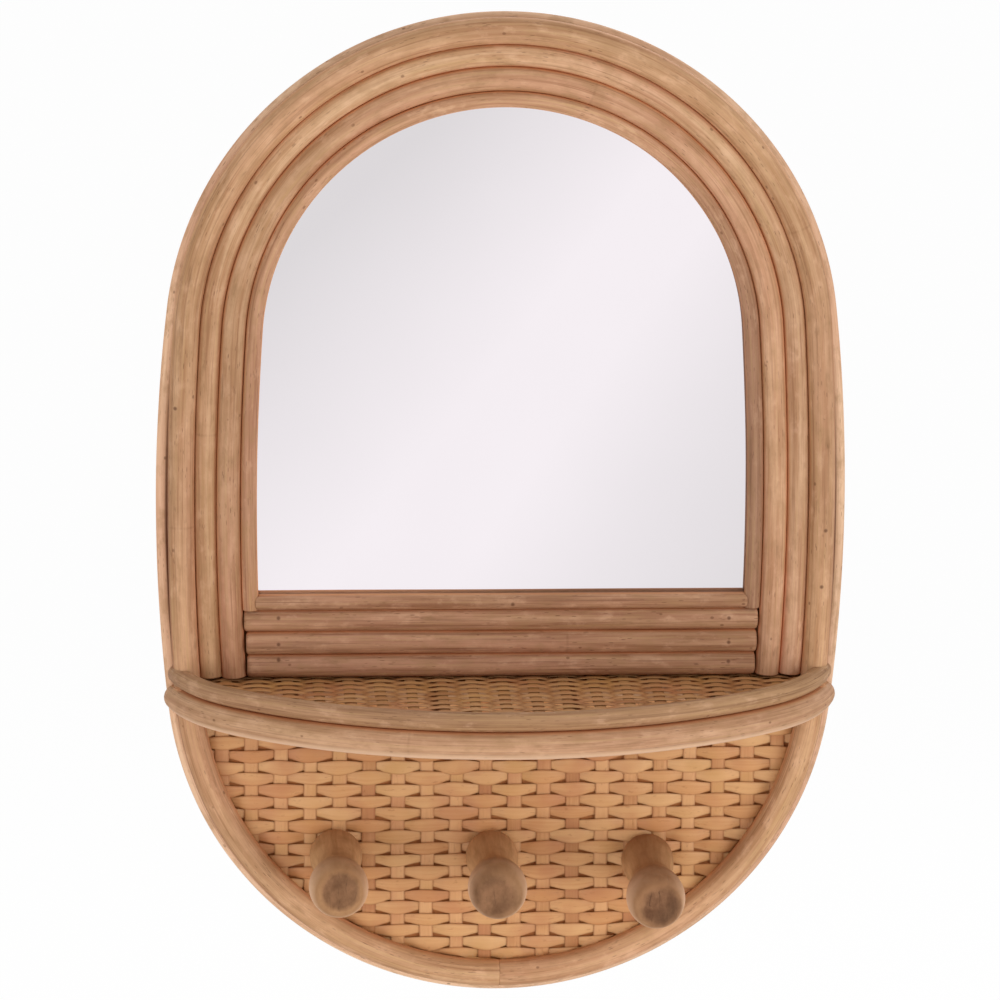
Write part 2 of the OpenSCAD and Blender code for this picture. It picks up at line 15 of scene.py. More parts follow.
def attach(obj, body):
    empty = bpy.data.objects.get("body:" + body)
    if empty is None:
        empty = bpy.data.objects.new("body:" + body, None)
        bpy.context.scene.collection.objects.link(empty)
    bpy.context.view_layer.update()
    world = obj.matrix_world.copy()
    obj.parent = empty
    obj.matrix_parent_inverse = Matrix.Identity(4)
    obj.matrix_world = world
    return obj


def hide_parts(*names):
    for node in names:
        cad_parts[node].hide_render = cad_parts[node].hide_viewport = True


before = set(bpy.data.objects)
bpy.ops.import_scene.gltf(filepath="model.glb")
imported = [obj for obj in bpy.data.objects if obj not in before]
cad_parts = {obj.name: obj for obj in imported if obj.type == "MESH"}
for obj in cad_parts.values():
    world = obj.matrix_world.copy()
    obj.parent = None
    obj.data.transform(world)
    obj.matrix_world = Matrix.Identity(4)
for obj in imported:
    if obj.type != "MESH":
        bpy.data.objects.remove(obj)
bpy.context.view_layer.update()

# ---------------------------------------------------------------- sizes

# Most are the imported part's own. The others shape only what stands in for its poles,
# canes and pegs.
MM = 0.001                        # the sizes below are in mm
HANG = 110.0                      # keyholes above the oval's middle
OUTLINE = (204.0, 296.0, 5.7)     # half width, half height, bow of the sides
POLES = (196.8, 292.0, 3.3)       # the same, of the outer loop
GAP = 0.2                         # between neighbouring poles in the part
RING_LOW = 1.8                    # the edge ring's middle below the poles'
RING_D, LOOP_D, MIDDLE_D, INNER_D, BEAD_D = 9.0, 15.4, 12.8, 14.0, 9.4
UPPER_RAIL_D, RAIL_D, BAR_D, SLAT_D = 13.0, 13.6, 12.0, 6.0
TOP_RIM_D, LOW_RIM_D = 11.5, 16.4
BOARD_FRONT = 8.5                 # depths from the wall: the board's front side,
GLASS_FRONT = 12.3                # the glass's front side,
RING_DEPTH = 4.7                  # the edge ring's middle line,
RIM_LAND = 9.5                    # and where the shelf's rims land on that ring
SHELF_TOP = -100.8
SHELF_REACH = 127.0
FOOT_GAP = 0.3                    # arches' feet and lowest rail above the shelf's top
RIM_END_R = 110.0                 # radius of the arcs at the rims' ends
RIM_END_BACK = 14.0               # those arcs' centres behind the wall's face
RIM_OVER = 0.85                   # degrees that a rim runs past its landing, to be cut
RIM_LIFT = 2.3                    # the upper rim's middle above the weave's
RIM_INSET = 0.47                  # rims' ends inside the outline, in lower rim diameters
NOTCH_R = 0.515                   # radius of a notch round a pole, in its diameters
CLASP_GAP, COPE_GAP = 0.15, 0.1   # added to the notch round the loop, and the bead
STRAIGHT_R = 4.0e5                # radius of an arc that stands for a straight run
RING_STEP = 2.6                   # between rings of vertices along a pole
STAKE_W, PANEL_STAKE_W = 7.0, 8.4     # widths of the stakes, on the shelf and in the panel
CANE_T, SHELF_CANE_T = 1.0, 0.84      # thickness of a cane, in the panel and on the shelf
WEAVE_HALF = 1.87                 # half the thickness of the weave
WEAVE_LIFT, WEAVE_BACK = 0.1, 0.5     # the panel's and the shelf's weave off the board
ROW_MARGIN = 2.4                  # the outermost rows' middles inside the weave's edge
SEAT = 0.3                        # between the weave's ends and the poles
PEGS = (("left_peg", -98.0, -209.8, 0.0),       # name, x, height, droop in degrees
        ("centre_peg", -5.0, -211.3, 0.0),
        ("right_peg", 88.0, -213.8, 3.0))
PEG_LEN, PEG_BULGE = 90.0, 7.0    # length, and height of the foot's bulge
PEG_FOOT, PEG_NECK, PEG_KNOB, PEG_FACE = 15.75, 12.25, 17.5, 10.5     # radii
PEG_BORE, PEG_BITE = 2.12, 30.0   # the screw's way into a peg: radius and depth
PEG_LIFT = 0.2                    # a peg's foot off a weave that lies on the board
PEG_SCALE = 0.992                 # of the part's radii
PEG_END = 9.0                     # length of the knob's front, for the end's own finish
PANEL_PITCH, PANEL_STAKES, PANEL_ROWS = 17.4, 20, 22
SHELF_PITCH, SHELF_STAKES, SHELF_ROWS = 18.1, 21, 21
SLAT_PITCH, SLAT_SHORT = 82.0, 8.0    # between slats; their ends inside the rims' middle
RAIL_SHORT, BAR_SHORT = 2.8, 0.5  # bead rail's ends inside the bead's middle, bar's off the loop
ROUND, PEG_ROUND = 28, 72         # vertices round a pole, round a peg
CHANCES = 40                      # random numbers drawn for the lengths of one weaver


def resting(d):
    """Depth of the middle line of a pole of diameter d that lies on the board."""
    return BOARD_FRONT + GAP + d / 2


# ---------------------------------------------------------------- camera, light, floor

AIM = Vector((-0.0005, 0.0, -0.1077))
DISTANCE, LENS, SENSOR = 3.5, 212.8, 36
AZIMUTH, ELEVATION, ROLL = math.radians(-3.0), math.radians(12.5), math.radians(-0.38)
AMBIENT = 0.70                    # strength of the white world on the object
FLOOR_Z, FLOOR_HALF = -1.0, 30.0
FLOOR_GLOW = 0.965                # the glow's share in what is seen of the floor
BAND_SLANT = 0.204                # x per y of the pale band that the mirror shows


def make_camera():
    """Camera on a long lens, a little above and to the left of the object's front."""
    data = bpy.data.cameras.new("camera")
    data.lens = LENS
    data.sensor_width = SENSOR
    cam = bpy.data.objects.new("camera", data)
    bpy.context.scene.collection.objects.link(cam)
    back = Vector((math.sin(AZIMUTH) * math.cos(ELEVATION),
                   -math.cos(AZIMUTH) * math.cos(ELEVATION), math.sin(ELEVATION)))
    cam.location = AIM + back * DISTANCE
    turn = (-back).to_track_quat("-Z", "Y")
    cam.rotation_mode = "QUATERNION"
    cam.rotation_quaternion = Quaternion(back, -ROLL) @ turn
    bpy.context.scene.camera = cam


def make_lamp(name, place, size, watts, aim=(0, 0, -0.1), colour=(1, 1, 1)):
    """Square area lamp at place, turned to aim."""
    data = bpy.data.lights.new(name, "AREA")
    data.size = size
    data.energy = watts
    data.color = colour
    lamp = bpy.data.objects.new(name, data)
    bpy.context.scene.collection.objects.link(lamp)
    lamp.location = place
    lamp.rotation_mode = "QUATERNION"
    lamp.rotation_quaternion = (Vector(aim) - Vector(place)).to_track_quat("-Z", "Y")


# ---------------------------------------------------------------- shader expressions

class Val:
    """A socket of a node tree on which + - * / ** build Math nodes."""

    def __init__(self, mat, socket):
        self.mat, self.socket = mat, socket

    def math(self, op, a, b=None, clamp=False):
        """A Math node of one or two inputs."""
        values = {0: a} if b is None else {0: a, 1: b}
        return self.mat.node("ShaderNodeMath", {"operation": op, "use_clamp": clamp}, values)

    def __add__(self, o):
        return self.math("ADD", self, o)

    def __radd__(self, o):
        return self.math("ADD", o, self)

    def __sub__(self, o):
        return self.math("SUBTRACT", self, o)

    def __rsub__(self, o):
        return self.math("SUBTRACT", o, self)

    def __mul__(self, o):
        return self.math("MULTIPLY", self, o)

    def __rmul__(self, o):
        return self.math("MULTIPLY", o, self)

    def __truediv__(self, o):
        return self.math("DIVIDE", self, o)

    def __pow__(self, o):
        return self.math("POWER", self, o)

    def clamp(self):
        return self.math("ADD", self, 0.0, clamp=True)

    def sin(self):
        return self.math("SINE", self)

    def cos(self):
        return self.math("COSINE", self)

    def abs(self):
        return self.math("ABSOLUTE", self)

    def step(self, lo, hi):
        """0 below lo, 1 above hi, a straight ramp between them."""
        return self.mat.node("ShaderNodeMapRange", {"clamp": True},
                             {"Value": self, "From Min": lo, "From Max": hi})


class Material:
    """A Principled material whose inputs are written as expressions."""

    def __init__(self, name, **plain):
        self.data = bpy.data.materials.new(name)
        self.data.use_nodes = True
        self.tree = self.data.node_tree
        self.shader = self.tree.nodes["Principled BSDF"]
        for key, value in plain.items():
            self.shader.inputs[key.replace("_", " ")].default_value = value

    def put(self, socket, value):
        """Links a Val to a socket, or sets the socket to a number, vector or colour."""
        if isinstance(value, Val):
            self.tree.links.new(value.socket, socket)
        elif isinstance(value, tuple) and len(value) == 3 and len(socket.default_value) == 4:
            socket.default_value = (*value, 1)
        else:
            socket.default_value = value

    def node(self, kind, settings=None, values=None, out=0):
        """Adds a node, sets its settings, then its inputs, and gives one output."""
        n = self.tree.nodes.new(kind)
        for key, value in (settings or {}).items():
            setattr(n, key, value)
        for key, value in (values or {}).items():
            self.put(n.inputs[key], value)
        return Val(self, n.outputs[out])

    def mix(self, a, b, f):
        """Colour a where f is 0, b where it is 1."""
        return self.node("ShaderNodeMix", {"data_type": "RGBA"}, {0: f, 6: a, 7: b}, 2)

    def tinted(self, a, b):
        """Colour a times colour b."""
        return self.node("ShaderNodeVectorMath", {"operation": "MULTIPLY"}, {0: a, 1: b})

    def uv(self):
        """The two numbers of the UV map."""
        n = self.node("ShaderNodeUVMap", {"uv_map": "UVMap"})
        split = self.tree.nodes.new("ShaderNodeSeparateXYZ")
        self.put(split.inputs[0], n)
        return Val(self, split.outputs[0]), Val(self, split.outputs[1])

    def place(self):
        """x, y and z on the object, in metres."""
        n = self.tree.nodes.new("ShaderNodeTexCoord")
        split = self.tree.nodes.new("ShaderNodeSeparateXYZ")
        self.tree.links.new(n.outputs["Object"], split.inputs[0])
        return [Val(self, split.outputs[i]) for i in range(3)]

    def attribute(self, name):
        """A number stored at the vertices."""
        return self.node("ShaderNodeAttribute", {"attribute_name": name}, out=2)

    def xyz(self, x, y, z):
        """Three numbers as a vector."""
        return self.node("ShaderNodeCombineXYZ", {}, {0: x, 1: y, 2: z})

    def noise(self, where, scale=1.0, detail=3.0, rough=0.55):
        """Cloudy noise around 0.5."""
        return self.node("ShaderNodeTexNoise", {"noise_dimensions": "3D"},
                         {"Vector": where, "Scale": scale, "Detail": detail, "Roughness": rough})

    def cells(self, where):
        """Distance to the nearest of scattered points."""
        return self.node("ShaderNodeTexVoronoi", {"feature": "F1"}, {"Vector": where, "Scale": 1.0})

    def bump(self, height, strength, distance):
        """Height times distance, which is in metres, as a Normal."""
        self.put(self.shader.inputs["Normal"],
                 self.node("ShaderNodeBump", {}, {"Height": height, "Strength": strength,
                                                  "Distance": distance}))

    def set(self, **inputs):
        """Gives the shader's inputs their values, with _ for a space in their names."""
        for key, value in inputs.items():
            self.put(self.shader.inputs[key.replace("_", " ")], value)


def rgb(r, g, b):
    """Colour given in the 0-255 steps of a display, as linear light."""
    c = np.array((r, g, b), float) / 255
    return tuple(np.where(c <= 0.04045, c / 12.92, ((c + 0.055) / 1.055) ** 2.4).tolist())


# ---------------------------------------------------------------- floor and surroundings

def seen_directly(m):
    """1 for rays from the camera, mirror reflections and glass, 0 for light on the object."""
    path = m.tree.nodes.new("ShaderNodeLightPath")
    kinds = ("Is Camera Ray", "Is Glossy Ray", "Is Transmission Ray")
    camera, mirror, glass = [Val(m, path.outputs[kind]) for kind in kinds]
    return (camera + mirror + glass).clamp()


class World(Material):
    """The world's node tree, written the same way as a material's."""

    def __init__(self, name):
        self.data = bpy.data.worlds.new(name)
        self.data.use_nodes = True
        self.tree = self.data.node_tree
        self.shader = self.tree.nodes["Background"]
        bpy.context.scene.world = self.data


def make_surroundings():
    """White world over a pale floor that shows white and keeps a faint shadow. What the
    mirror sees of it is a bright band between soft greys."""
    sky = World("studio")
    seen = seen_directly(sky)
    sky.shader.inputs["Color"].default_value = (1, 1, 1, 1)
    sky.set(Strength=seen * (1 - AMBIENT) + AMBIENT)
    m = Material("floor", Roughness=1.0)
    m.shader.inputs["Specular IOR Level"].default_value = 0
    x, y, z = m.place()
    across = x + y * BAND_SLANT
    m.set(Base_Color=(0.78, 0.77, 0.76))
    tone = m.mix((0.75, 0.724, 0.744), (0.96, 0.912, 0.95),
                 across.step(-1.22, -0.76) * across.step(-0.20, -0.60))
    glow = m.tree.nodes.new("ShaderNodeEmission")
    camera = Val(m, m.tree.nodes.new("ShaderNodeLightPath").outputs["Is Camera Ray"])
    m.put(glow.inputs["Color"], m.mix(tone, (1.0, 1.0, 1.0), camera))
    m.put(glow.inputs["Strength"], 1.0)
    join = m.tree.nodes.new("ShaderNodeMixShader")
    m.put(join.inputs[0], seen_directly(m) * FLOOR_GLOW)
    m.tree.links.new(m.shader.outputs[0], join.inputs[1])
    m.tree.links.new(glow.outputs[0], join.inputs[2])
    m.tree.links.new(join.outputs[0], m.tree.nodes["Material Output"].inputs[0])
    mesh = bpy.data.meshes.new("floor")
    side = np.array([-FLOOR_HALF, FLOOR_HALF])
    gx, gy = np.meshgrid(side, side)
    corners = np.stack([gx, gy, np.full_like(gx, FLOOR_Z)], -1).reshape(-1, 3)
    mesh.from_pydata(corners.tolist(), [], [(0, 1, 3, 2)])
    mesh.materials.append(m.data)
    floor = bpy.data.objects.new("floor", mesh)
    bpy.context.scene.collection.objects.link(floor)


make_camera()
bpy.context.scene.view_settings.view_transform = "Standard"
make_lamp("key", (1.75, -1.8, -0.15), 1.6, 24)
make_lamp("fill", (-1.4, -1.7, -0.65), 1.3, 15)
make_lamp("behind", (0.6, 2.2, 1.0), 1.6, 30)
make_surroundings()


# ---------------------------------------------------------------- materials

def pole_finish(name, pale, mid, dark, d, seed, stain=0.5, pores=1.0, base=0.0, valley_light=0.7,
                inner_groove_shade=0.0, rosy=0.4, under_light=0.0, lying=0, outer_groove_shade=0.0, grain=1.0, tints=(), pins=()):
    """Rattan pole of diameter d mm. The UV map runs along the pole in metres and once
    round it. Soft streaks, veins and fine fibres run along it, pores are short dark
    dashes, and slow drifts, mottles and blotches move the colour from place to place.

    stain, pores, rosy and grain scale the blotches, the pores, the blush and the veins.
    base darkens the side that faces the wall as painted shade, most on the right, and
    flank reddens the sides that lie against the neighbours as painted light bounced into
    the valleys between them. crease darkens the inner side, most of all low down, and
    welt darkens the outer side low down, both as painted shade in the grooves. hem makes
    the lower side paler as painted light from below. lying is 1 or -1 where the
    neighbour lies above or below. pins are the x and z, in mm, of small dark nail
    heads. tints are factors for the left side, the right side, the left foot, the right
    foot and the crown, where a foot fades out over 100 mm above the shelf; they paint
    light and shade there, with a small shift of colour."""
    m = Material(name)
    along, around = m.uv()
    angle = around * (2 * math.pi)
    x, y = angle.cos() * (d * MM / 2), angle.sin() * (d * MM / 2)
    z = along + seed * 3.7
    fibre = m.noise(m.xyz(x * 1300, y * 1300, z * 30), 1, 4, 0.65)
    streak = m.noise(m.xyz(x * 300, y * 300, z * 13), 1, 3, 0.55)
    slow = m.noise(m.xyz(x * 70, y * 70, z * 9 + 11), 1, 3, 0.55)
    blush = m.noise(m.xyz(x * 40, y * 40, z * 5 + 31), 1, 2, 0.5)
    blotch = m.noise(m.xyz(x * 170 + 5, y * 170, z * 45), 1, 4, 0.6)
    pore = m.cells(m.xyz(x * 900, y * 900, z * 110))
    dash = ((0.20 - pore).step(0.0, 0.06)
            * m.noise(m.xyz(x * 90, y * 90, z * 40), 1, 2).step(0.44, 0.60))
    speck = ((0.12 - m.cells(m.xyz(x * 120 + 9, y * 120, z * 85))).step(0.0, 0.05)
             * m.noise(m.xyz(x * 50, y * 50, z * 37 + 3), 1, 1).step(0.52, 0.56))
    mottle = m.noise(m.xyz(x * 130 + 2, y * 130, z * 70), 1, 4, 0.6)
    colour = m.mix(pale, mid, streak.step(0.40, 0.62))
    colour = m.mix(colour, dark, slow.step(0.52, 0.80) * 0.5)
    colour = m.mix(colour, dark, streak.step(0.58, 0.74) * 0.35)
    colour = m.mix(colour, rgb(206, 150, 122), blush.step(0.46, 0.66) * rosy)
    colour = m.mix(colour, rgb(164, 124, 86), mottle.step(0.50, 0.66) * 0.5)
    colour = m.mix(colour, rgb(216, 172, 138), mottle.step(0.46, 0.32) * 0.4)
    vein = m.noise(m.xyz(x * 620 + 7, y * 620, z * 9), 1, 3, 0.6)
    colour = m.mix(colour, dark, vein.step(0.55, 0.68) * (0.5 * grain))
    colour = m.mix(colour, rgb(190, 152, 106), vein.step(0.44, 0.34) * (0.4 * grain))
    colour = m.mix(colour, dark, fibre.step(0.52, 0.76) * 0.5)
    colour = m.mix(colour, pale, fibre.step(0.44, 0.24) * 0.35)
    colour = m.mix(colour, rgb(128, 92, 58), blotch.step(0.60, 0.76) * stain)
    colour = m.mix(colour, rgb(96, 58, 34), dash * 0.6 * pores)
    colour = m.mix(colour, rgb(104, 64, 38), speck * 0.6)
    knot = m.attribute("knot")
    colour = m.mix(colour, rgb(120, 78, 46), knot.step(0.25, 0.9) * streak.step(0.3, 0.7) * 0.3)
    px, py, pz = m.place()
    low = pz.step(-0.01, -0.13)
    # painted light: the sides against a neighbour made orange, as light bounced into the valley between
    # them
    across = angle.sin() * lying if lying else angle.cos().abs()
    colour = m.mix(colour, rgb(214, 142, 92), across.step(0.84, 0.98) * valley_light)
    # painted light from below: the lower side made paler
    if under_light:
        colour = m.mix(colour, rgb(228, 188, 154), (angle.sin() * -1).step(0.35, 0.75) * under_light)
    # painted shade in the groove on the inner side, most of all low down
    if inner_groove_shade:
        colour = m.mix(colour, rgb(96, 52, 30),
                       angle.cos().step(-0.12, -0.34) * (low * 0.7 + 0.3) * inner_groove_shade)
    # painted shade: the side that faces the wall and the glass is darkened, most on the right, and the
    # mirror shows it too
    if base:
        under = (0.45 - angle.sin()).step(0.0, 0.6)
        colour = m.mix(colour, rgb(92, 52, 30),
                       under * (px.step(-0.1, 0.04) * 0.85 + 0.15) * base)
    # painted shade in the groove on the outer side, low down
    if outer_groove_shade:
        colour = m.mix(colour, rgb(104, 58, 34), angle.cos().step(0.86, 0.97) * low * outer_groove_shade)
    # painted light and shade, with a small shift of colour: the sides, feet and crown made lighter or
    # darker
    if tints:
        left, right, left_foot, right_foot, crown = [
            (t, t, t) if isinstance(t, float) else t for t in tints]
        side = px.step(-0.06, 0.06)
        foot = pz.step(-0.11, -0.20)
        tint = m.mix(m.mix(left, right, side), m.mix(left_foot, right_foot, side), foot)
        colour = m.tinted(colour, m.mix(tint, crown, pz.step(0.0, 0.11)))
    for pin_x, pin_z in pins:
        near = ((px - pin_x * MM) ** 2 + (pz - pin_z * MM) ** 2) ** 0.5
        head = near.step(0.0015, 0.0006) * (py * -1).step(0.012, 0.014)
        colour = m.mix(colour, rgb(92, 54, 34), head * 0.75)
    end = m.attribute("end")
    cut = m.mix(rgb(78, 44, 24), rgb(140, 94, 58), pore.step(0.1, 0.5))
    colour = m.mix(colour, cut, end.step(0.5, 0.9))
    m.set(Base_Color=colour, Roughness=(fibre * 0.25 + 0.56).clamp())
    m.shader.inputs["Specular IOR Level"].default_value = 0.3
    m.bump(fibre * 0.4 + streak * 0.6 - dash * 0.8, 0.45, 0.0004)
    return m.data


def peel_finish(name, pale, mid, dark, edge, seed, width):
    """Split cane, width metres wide. The UV map runs along the band in metres and once
    across it. The band's own tint attribute picks where it stands between pale, mid and
    dark, and above 1.1 turns it dark as painted shade where a weaver goes under a stake;
    lane, a number of its own, gives each band other fibres. edge is the colour of small
    spots and of the band's two edges, which it darkens as painted shade."""
    m = Material(name)
    along, across = m.uv()
    tint = m.attribute("tint")
    lane = m.attribute("lane")
    x = across * width
    fibre = m.noise(m.xyz(x * 2600, along * 40, lane * 7 + seed), 1, 4, 0.65)
    streak = m.noise(m.xyz(x * 700, along * 14, lane * 5 + seed + 3), 1, 3, 0.6)
    spot = m.noise(m.xyz(x * 500, along * 160, lane * 3 + seed + 8), 1, 3, 0.6)
    colour = m.mix(pale, mid, (tint * 1.3 + streak * 0.9 - 0.75).step(0.0, 0.7))
    colour = m.mix(colour, dark, (tint * 1.5 + streak * 0.7 - 1.25).step(0.0, 0.8))
    colour = m.mix(colour, dark, fibre.step(0.56, 0.80) * 0.5)
    colour = m.mix(colour, edge, spot.step(0.62, 0.78) * 0.45)
    # painted shade: a tint above 1.1, where a weaver goes under a stake, turns dark
    colour = m.mix(colour, rgb(70, 42, 24), tint.step(1.1, 1.8) * 0.75)
    px, py, pz = m.place()
    patch = m.noise(m.xyz(px * 26 + seed, py * 26, pz * 34), 1, 2, 0.5)
    colour = m.mix(colour, rgb(196, 146, 82), patch.step(0.54, 0.70) * 0.5)
    colour = m.mix(colour, rgb(186, 118, 78), patch.step(0.46, 0.32) * 0.45)
    # painted shade along the band's two edges
    rim = (across - 0.5).abs().step(0.36, 0.5)
    colour = m.mix(colour, edge, rim * 0.45)
    m.set(Base_Color=colour, Roughness=(fibre * 0.3 + 0.36).clamp())
    m.shader.inputs["Specular IOR Level"].default_value = 0.4
    m.bump(fibre * 0.5 + streak * 0.5, 0.4, 0.0003)
    return m.data


def turned_finish(name, pale, mid, dark, seed, cx, cz, stain):
    """Turned wood whose fibres run along the peg, y, with growth bands that its flat
    end, centred on cx, cz, cuts across. The upper side is darkened as painted shade, the
    knob's brim is made pale as a painted highlight, except on top, and the end has a
    dark stain checked by short cracks. The stain is (x, z, radius, softness, strength,
    the knob's own colour, how dark the painted shade on the upper side is), in mm from
    the end's middle."""
    m = Material(name)
    x, y, z = m.place()
    x, z = x - cx, z - cz
    fibre = m.noise(m.xyz(x * 1500, y * 60, z * 1500), 1, 4, 0.65)
    band = m.noise(m.xyz(x * 260 + seed, y * 14, z * 200), 1, 3, 0.6)
    ring = (m.noise(m.xyz(x * 90 + seed, y * 10, z * 60), 1, 2, 0.5) * 34).sin() * 0.5 + 0.5
    worn = m.noise(m.xyz(x * 70, y * 70 + seed, z * 70), 1, 3, 0.6)
    colour = m.mix(pale, mid, band.step(0.30, 0.66))
    colour = m.mix(colour, dark, (ring ** 3) * 0.2)
    colour = m.mix(colour, dark, fibre.step(0.52, 0.82) * 0.25)
    colour = m.mix(colour, dark, worn.step(0.48, 0.72) * 0.3)
    brim = (x * x + z * z) ** 0.5
    # painted shade: the upper side of the peg darkened
    above = (z / (brim + 0.002) + (worn - 0.5) * 0.6).step(0.0, 0.95)
    sx, sz, reach, soft, strength, knob, top_shade = stain
    colour = m.mix(colour, rgb(132, 84, 50), above * top_shade)
    front = (y * -1).step(0.066, 0.088)
    colour = m.mix(colour, knob, front * 0.7)
    # painted highlight on the knob's brim, kept off its top
    brim_highlight = brim.step(0.0136, 0.0172) * front * (1.0 - above)
    colour = m.mix(colour, rgb(232, 190, 156), brim_highlight * 0.75)
    end = m.attribute("end")
    grain = m.cells(m.xyz(x * 1400, y * 100, z * 1400))
    warp = m.noise(m.xyz(x * 160, y, z * 60 + seed), 1, 3, 0.6)
    crack = ((x * 620 + warp * 5 + seed).sin().abs().step(0.14, 0.02)
             * m.noise(m.xyz(x * 260 + seed, y, z * 90), 1, 2, 0.5).step(0.50, 0.62))
    shade = m.noise(m.xyz(x * 90, y, z * 70 + seed), 1, 3, 0.6)
    face = m.mix(rgb(90, 58, 38), rgb(138, 98, 70), shade.step(0.36, 0.62))
    face = m.mix(face, rgb(86, 60, 42), grain.step(0.5, 0.1) * 0.3)
    face = m.mix(face, rgb(58, 38, 26), crack * 0.8)
    off = ((x - sx * MM) ** 2 + (z - sz * MM) ** 2) ** 0.5
    fade = (off + (shade - 0.5) * 0.005).step((reach + soft) * MM, (reach - soft) * MM)
    colour = m.mix(colour, face, end * fade * strength)
    colour = m.mix(colour, rgb(70, 48, 32),
                   end * fade * (strength - 0.7) * (x - z).step(0.0, 0.012))
    m.set(Base_Color=colour, Roughness=(fibre * 0.2 + 0.66).clamp())
    m.shader.inputs["Specular IOR Level"].default_value = 0.15
    m.bump(fibre * 0.4 + band * 0.4 - crack * end * 2.0, 0.4, 0.0003)
    return m.data


def mirror_finish():
    """Silvered glass: a clean reflector with a breath of haze."""
    m = Material("mirror_silver", Metallic=1.0, Roughness=0.015)
    x, y, z = m.place()
    haze = m.noise(m.xyz(x * 9, y * 9, z * 9), 1, 2, 0.5)
    m.set(Base_Color=m.mix(rgb(252, 251, 251), rgb(250, 249, 249), haze.step(0.35, 0.7)))
    return m.data


def plywood_finish():
    """Rotary-cut plywood: wavy bands, fine short fibres, a few pin knots. Its front,
    which shows only through the weave, takes an orange-brown as painted shade, for the
    weave's gaps."""
    m = Material("plywood", Roughness=0.66)
    x, y, z = m.place()
    warp = m.noise(m.xyz(x * 9, y * 9, z * 2.2), 1, 3, 0.5)
    wave = ((x * 70 + warp * 9) * 2.2).sin() * 0.5 + 0.5
    lines = ((x * 900 + warp * 90) * 1.3).sin() * 0.5 + 0.5
    patch = m.noise(m.xyz(x * 26, y * 26, z * 7 + 4), 1, 4, 0.6)
    fibre = m.noise(m.xyz(x * 1400, y * 1400, z * 60), 1, 4, 0.65)
    dash = (0.16 - m.cells(m.xyz(x * 900, y * 900, z * 90))).step(0.0, 0.06)
    knot = (0.10 - m.cells(m.xyz(x * 11 + 3, y * 2, z * 9))).step(0.0, 0.08)
    ply = ((y * 1000 + 3.5) * 2.1).sin().step(-0.1, 0.1)
    colour = m.mix(rgb(212, 176, 130), rgb(196, 152, 104),
                   (wave ** 2) * 0.55 + patch.step(0.35, 0.7) * 0.45)
    colour = m.mix(colour, rgb(172, 126, 82), (lines ** 3) * wave * 0.45)
    colour = m.mix(colour, rgb(150, 110, 70), fibre.step(0.52, 0.8) * 0.45)
    colour = m.mix(colour, rgb(126, 88, 52), dash * 0.4)
    colour = m.mix(colour, rgb(104, 66, 38), knot * 0.8)
    side = m.node("ShaderNodeNewGeometry", out=1)
    split = m.tree.nodes.new("ShaderNodeSeparateXYZ")
    m.put(split.inputs[0], side)
    facing_y = Val(m, split.outputs[1])
    edge = facing_y.abs().step(0.5, 0.3)
    # painted shade: the front, seen only in the weave's gaps, made warm orange-brown
    colour = m.mix(colour, rgb(186, 112, 54), facing_y.step(-0.5, -0.6))
    colour = m.mix(colour, m.mix(rgb(178, 138, 94), rgb(120, 82, 50), ply), edge * 0.8)
    m.set(Base_Color=colour)
    m.bump(fibre * 0.6 + wave * 0.2, 0.4, 0.0003)
    return m.data


def steel_finish(name, tone, rough):
    """Zinc-plated steel with a faint spangle and fine scratches."""
    m = Material(name, Metallic=1.0)
    x, y, z = m.place()
    scratch = m.noise(m.xyz(x * 300, y * 300, z * 4000), 1, 3, 0.6)
    spangle = m.cells(m.xyz(x * 600, y * 600, z * 600))
    m.set(Base_Color=m.mix(tone, tuple(0.72 * c for c in tone), spangle.step(0.2, 0.9)),
          Roughness=(scratch * 0.2 + rough).clamp())
    m.bump(scratch, 0.15, 0.0001)
    return m.data


def felt_finish():
    """Pressed felt: matted short fibres of several greys."""
    m = Material("felt", Roughness=0.95)
    x, y, z = m.place()
    fluff = m.noise(m.xyz(x * 900, y * 900, z * 900), 1, 5, 0.7)
    clump = m.noise(m.xyz(x * 160, y * 160, z * 160), 1, 3, 0.6)
    colour = m.mix(rgb(70, 66, 62), rgb(116, 110, 104), fluff.step(0.35, 0.7))
    m.set(Base_Color=m.mix(colour, rgb(54, 50, 48), clump.step(0.45, 0.7) * 0.6))
    m.bump(fluff, 0.9, 0.0006)
    return m.data


def foam_finish():
    """Closed-cell foam tape: white, with small pits."""
    m = Material("foam_tape", Roughness=0.85)
    x, y, z = m.place()
    cell = m.cells(m.xyz(x * 1500, y * 1500, z * 1500))
    m.set(Base_Color=m.mix(rgb(206, 206, 200), rgb(232, 232, 228), cell.step(0.1, 0.5)))
    m.bump(cell, 0.5, 0.0003)
    return m.data


# ---------------------------------------------------------------- meshes from arrays

def enclosed(points, quads, tris):
    """Six times the volume inside the faces, positive where they look outward."""
    halves = np.concatenate([quads[:, (0, 1, 2)], quads[:, (0, 2, 3)], tris])
    a, b, c = (points[halves[:, i]] for i in range(3))
    return (a * np.cross(b, c)).sum()


def turned_over(uv, sides):
    """The corners' UV pairs of faces whose order is reversed."""
    return uv.reshape(-1, sides, 2)[:, ::-1].reshape(-1, 2)


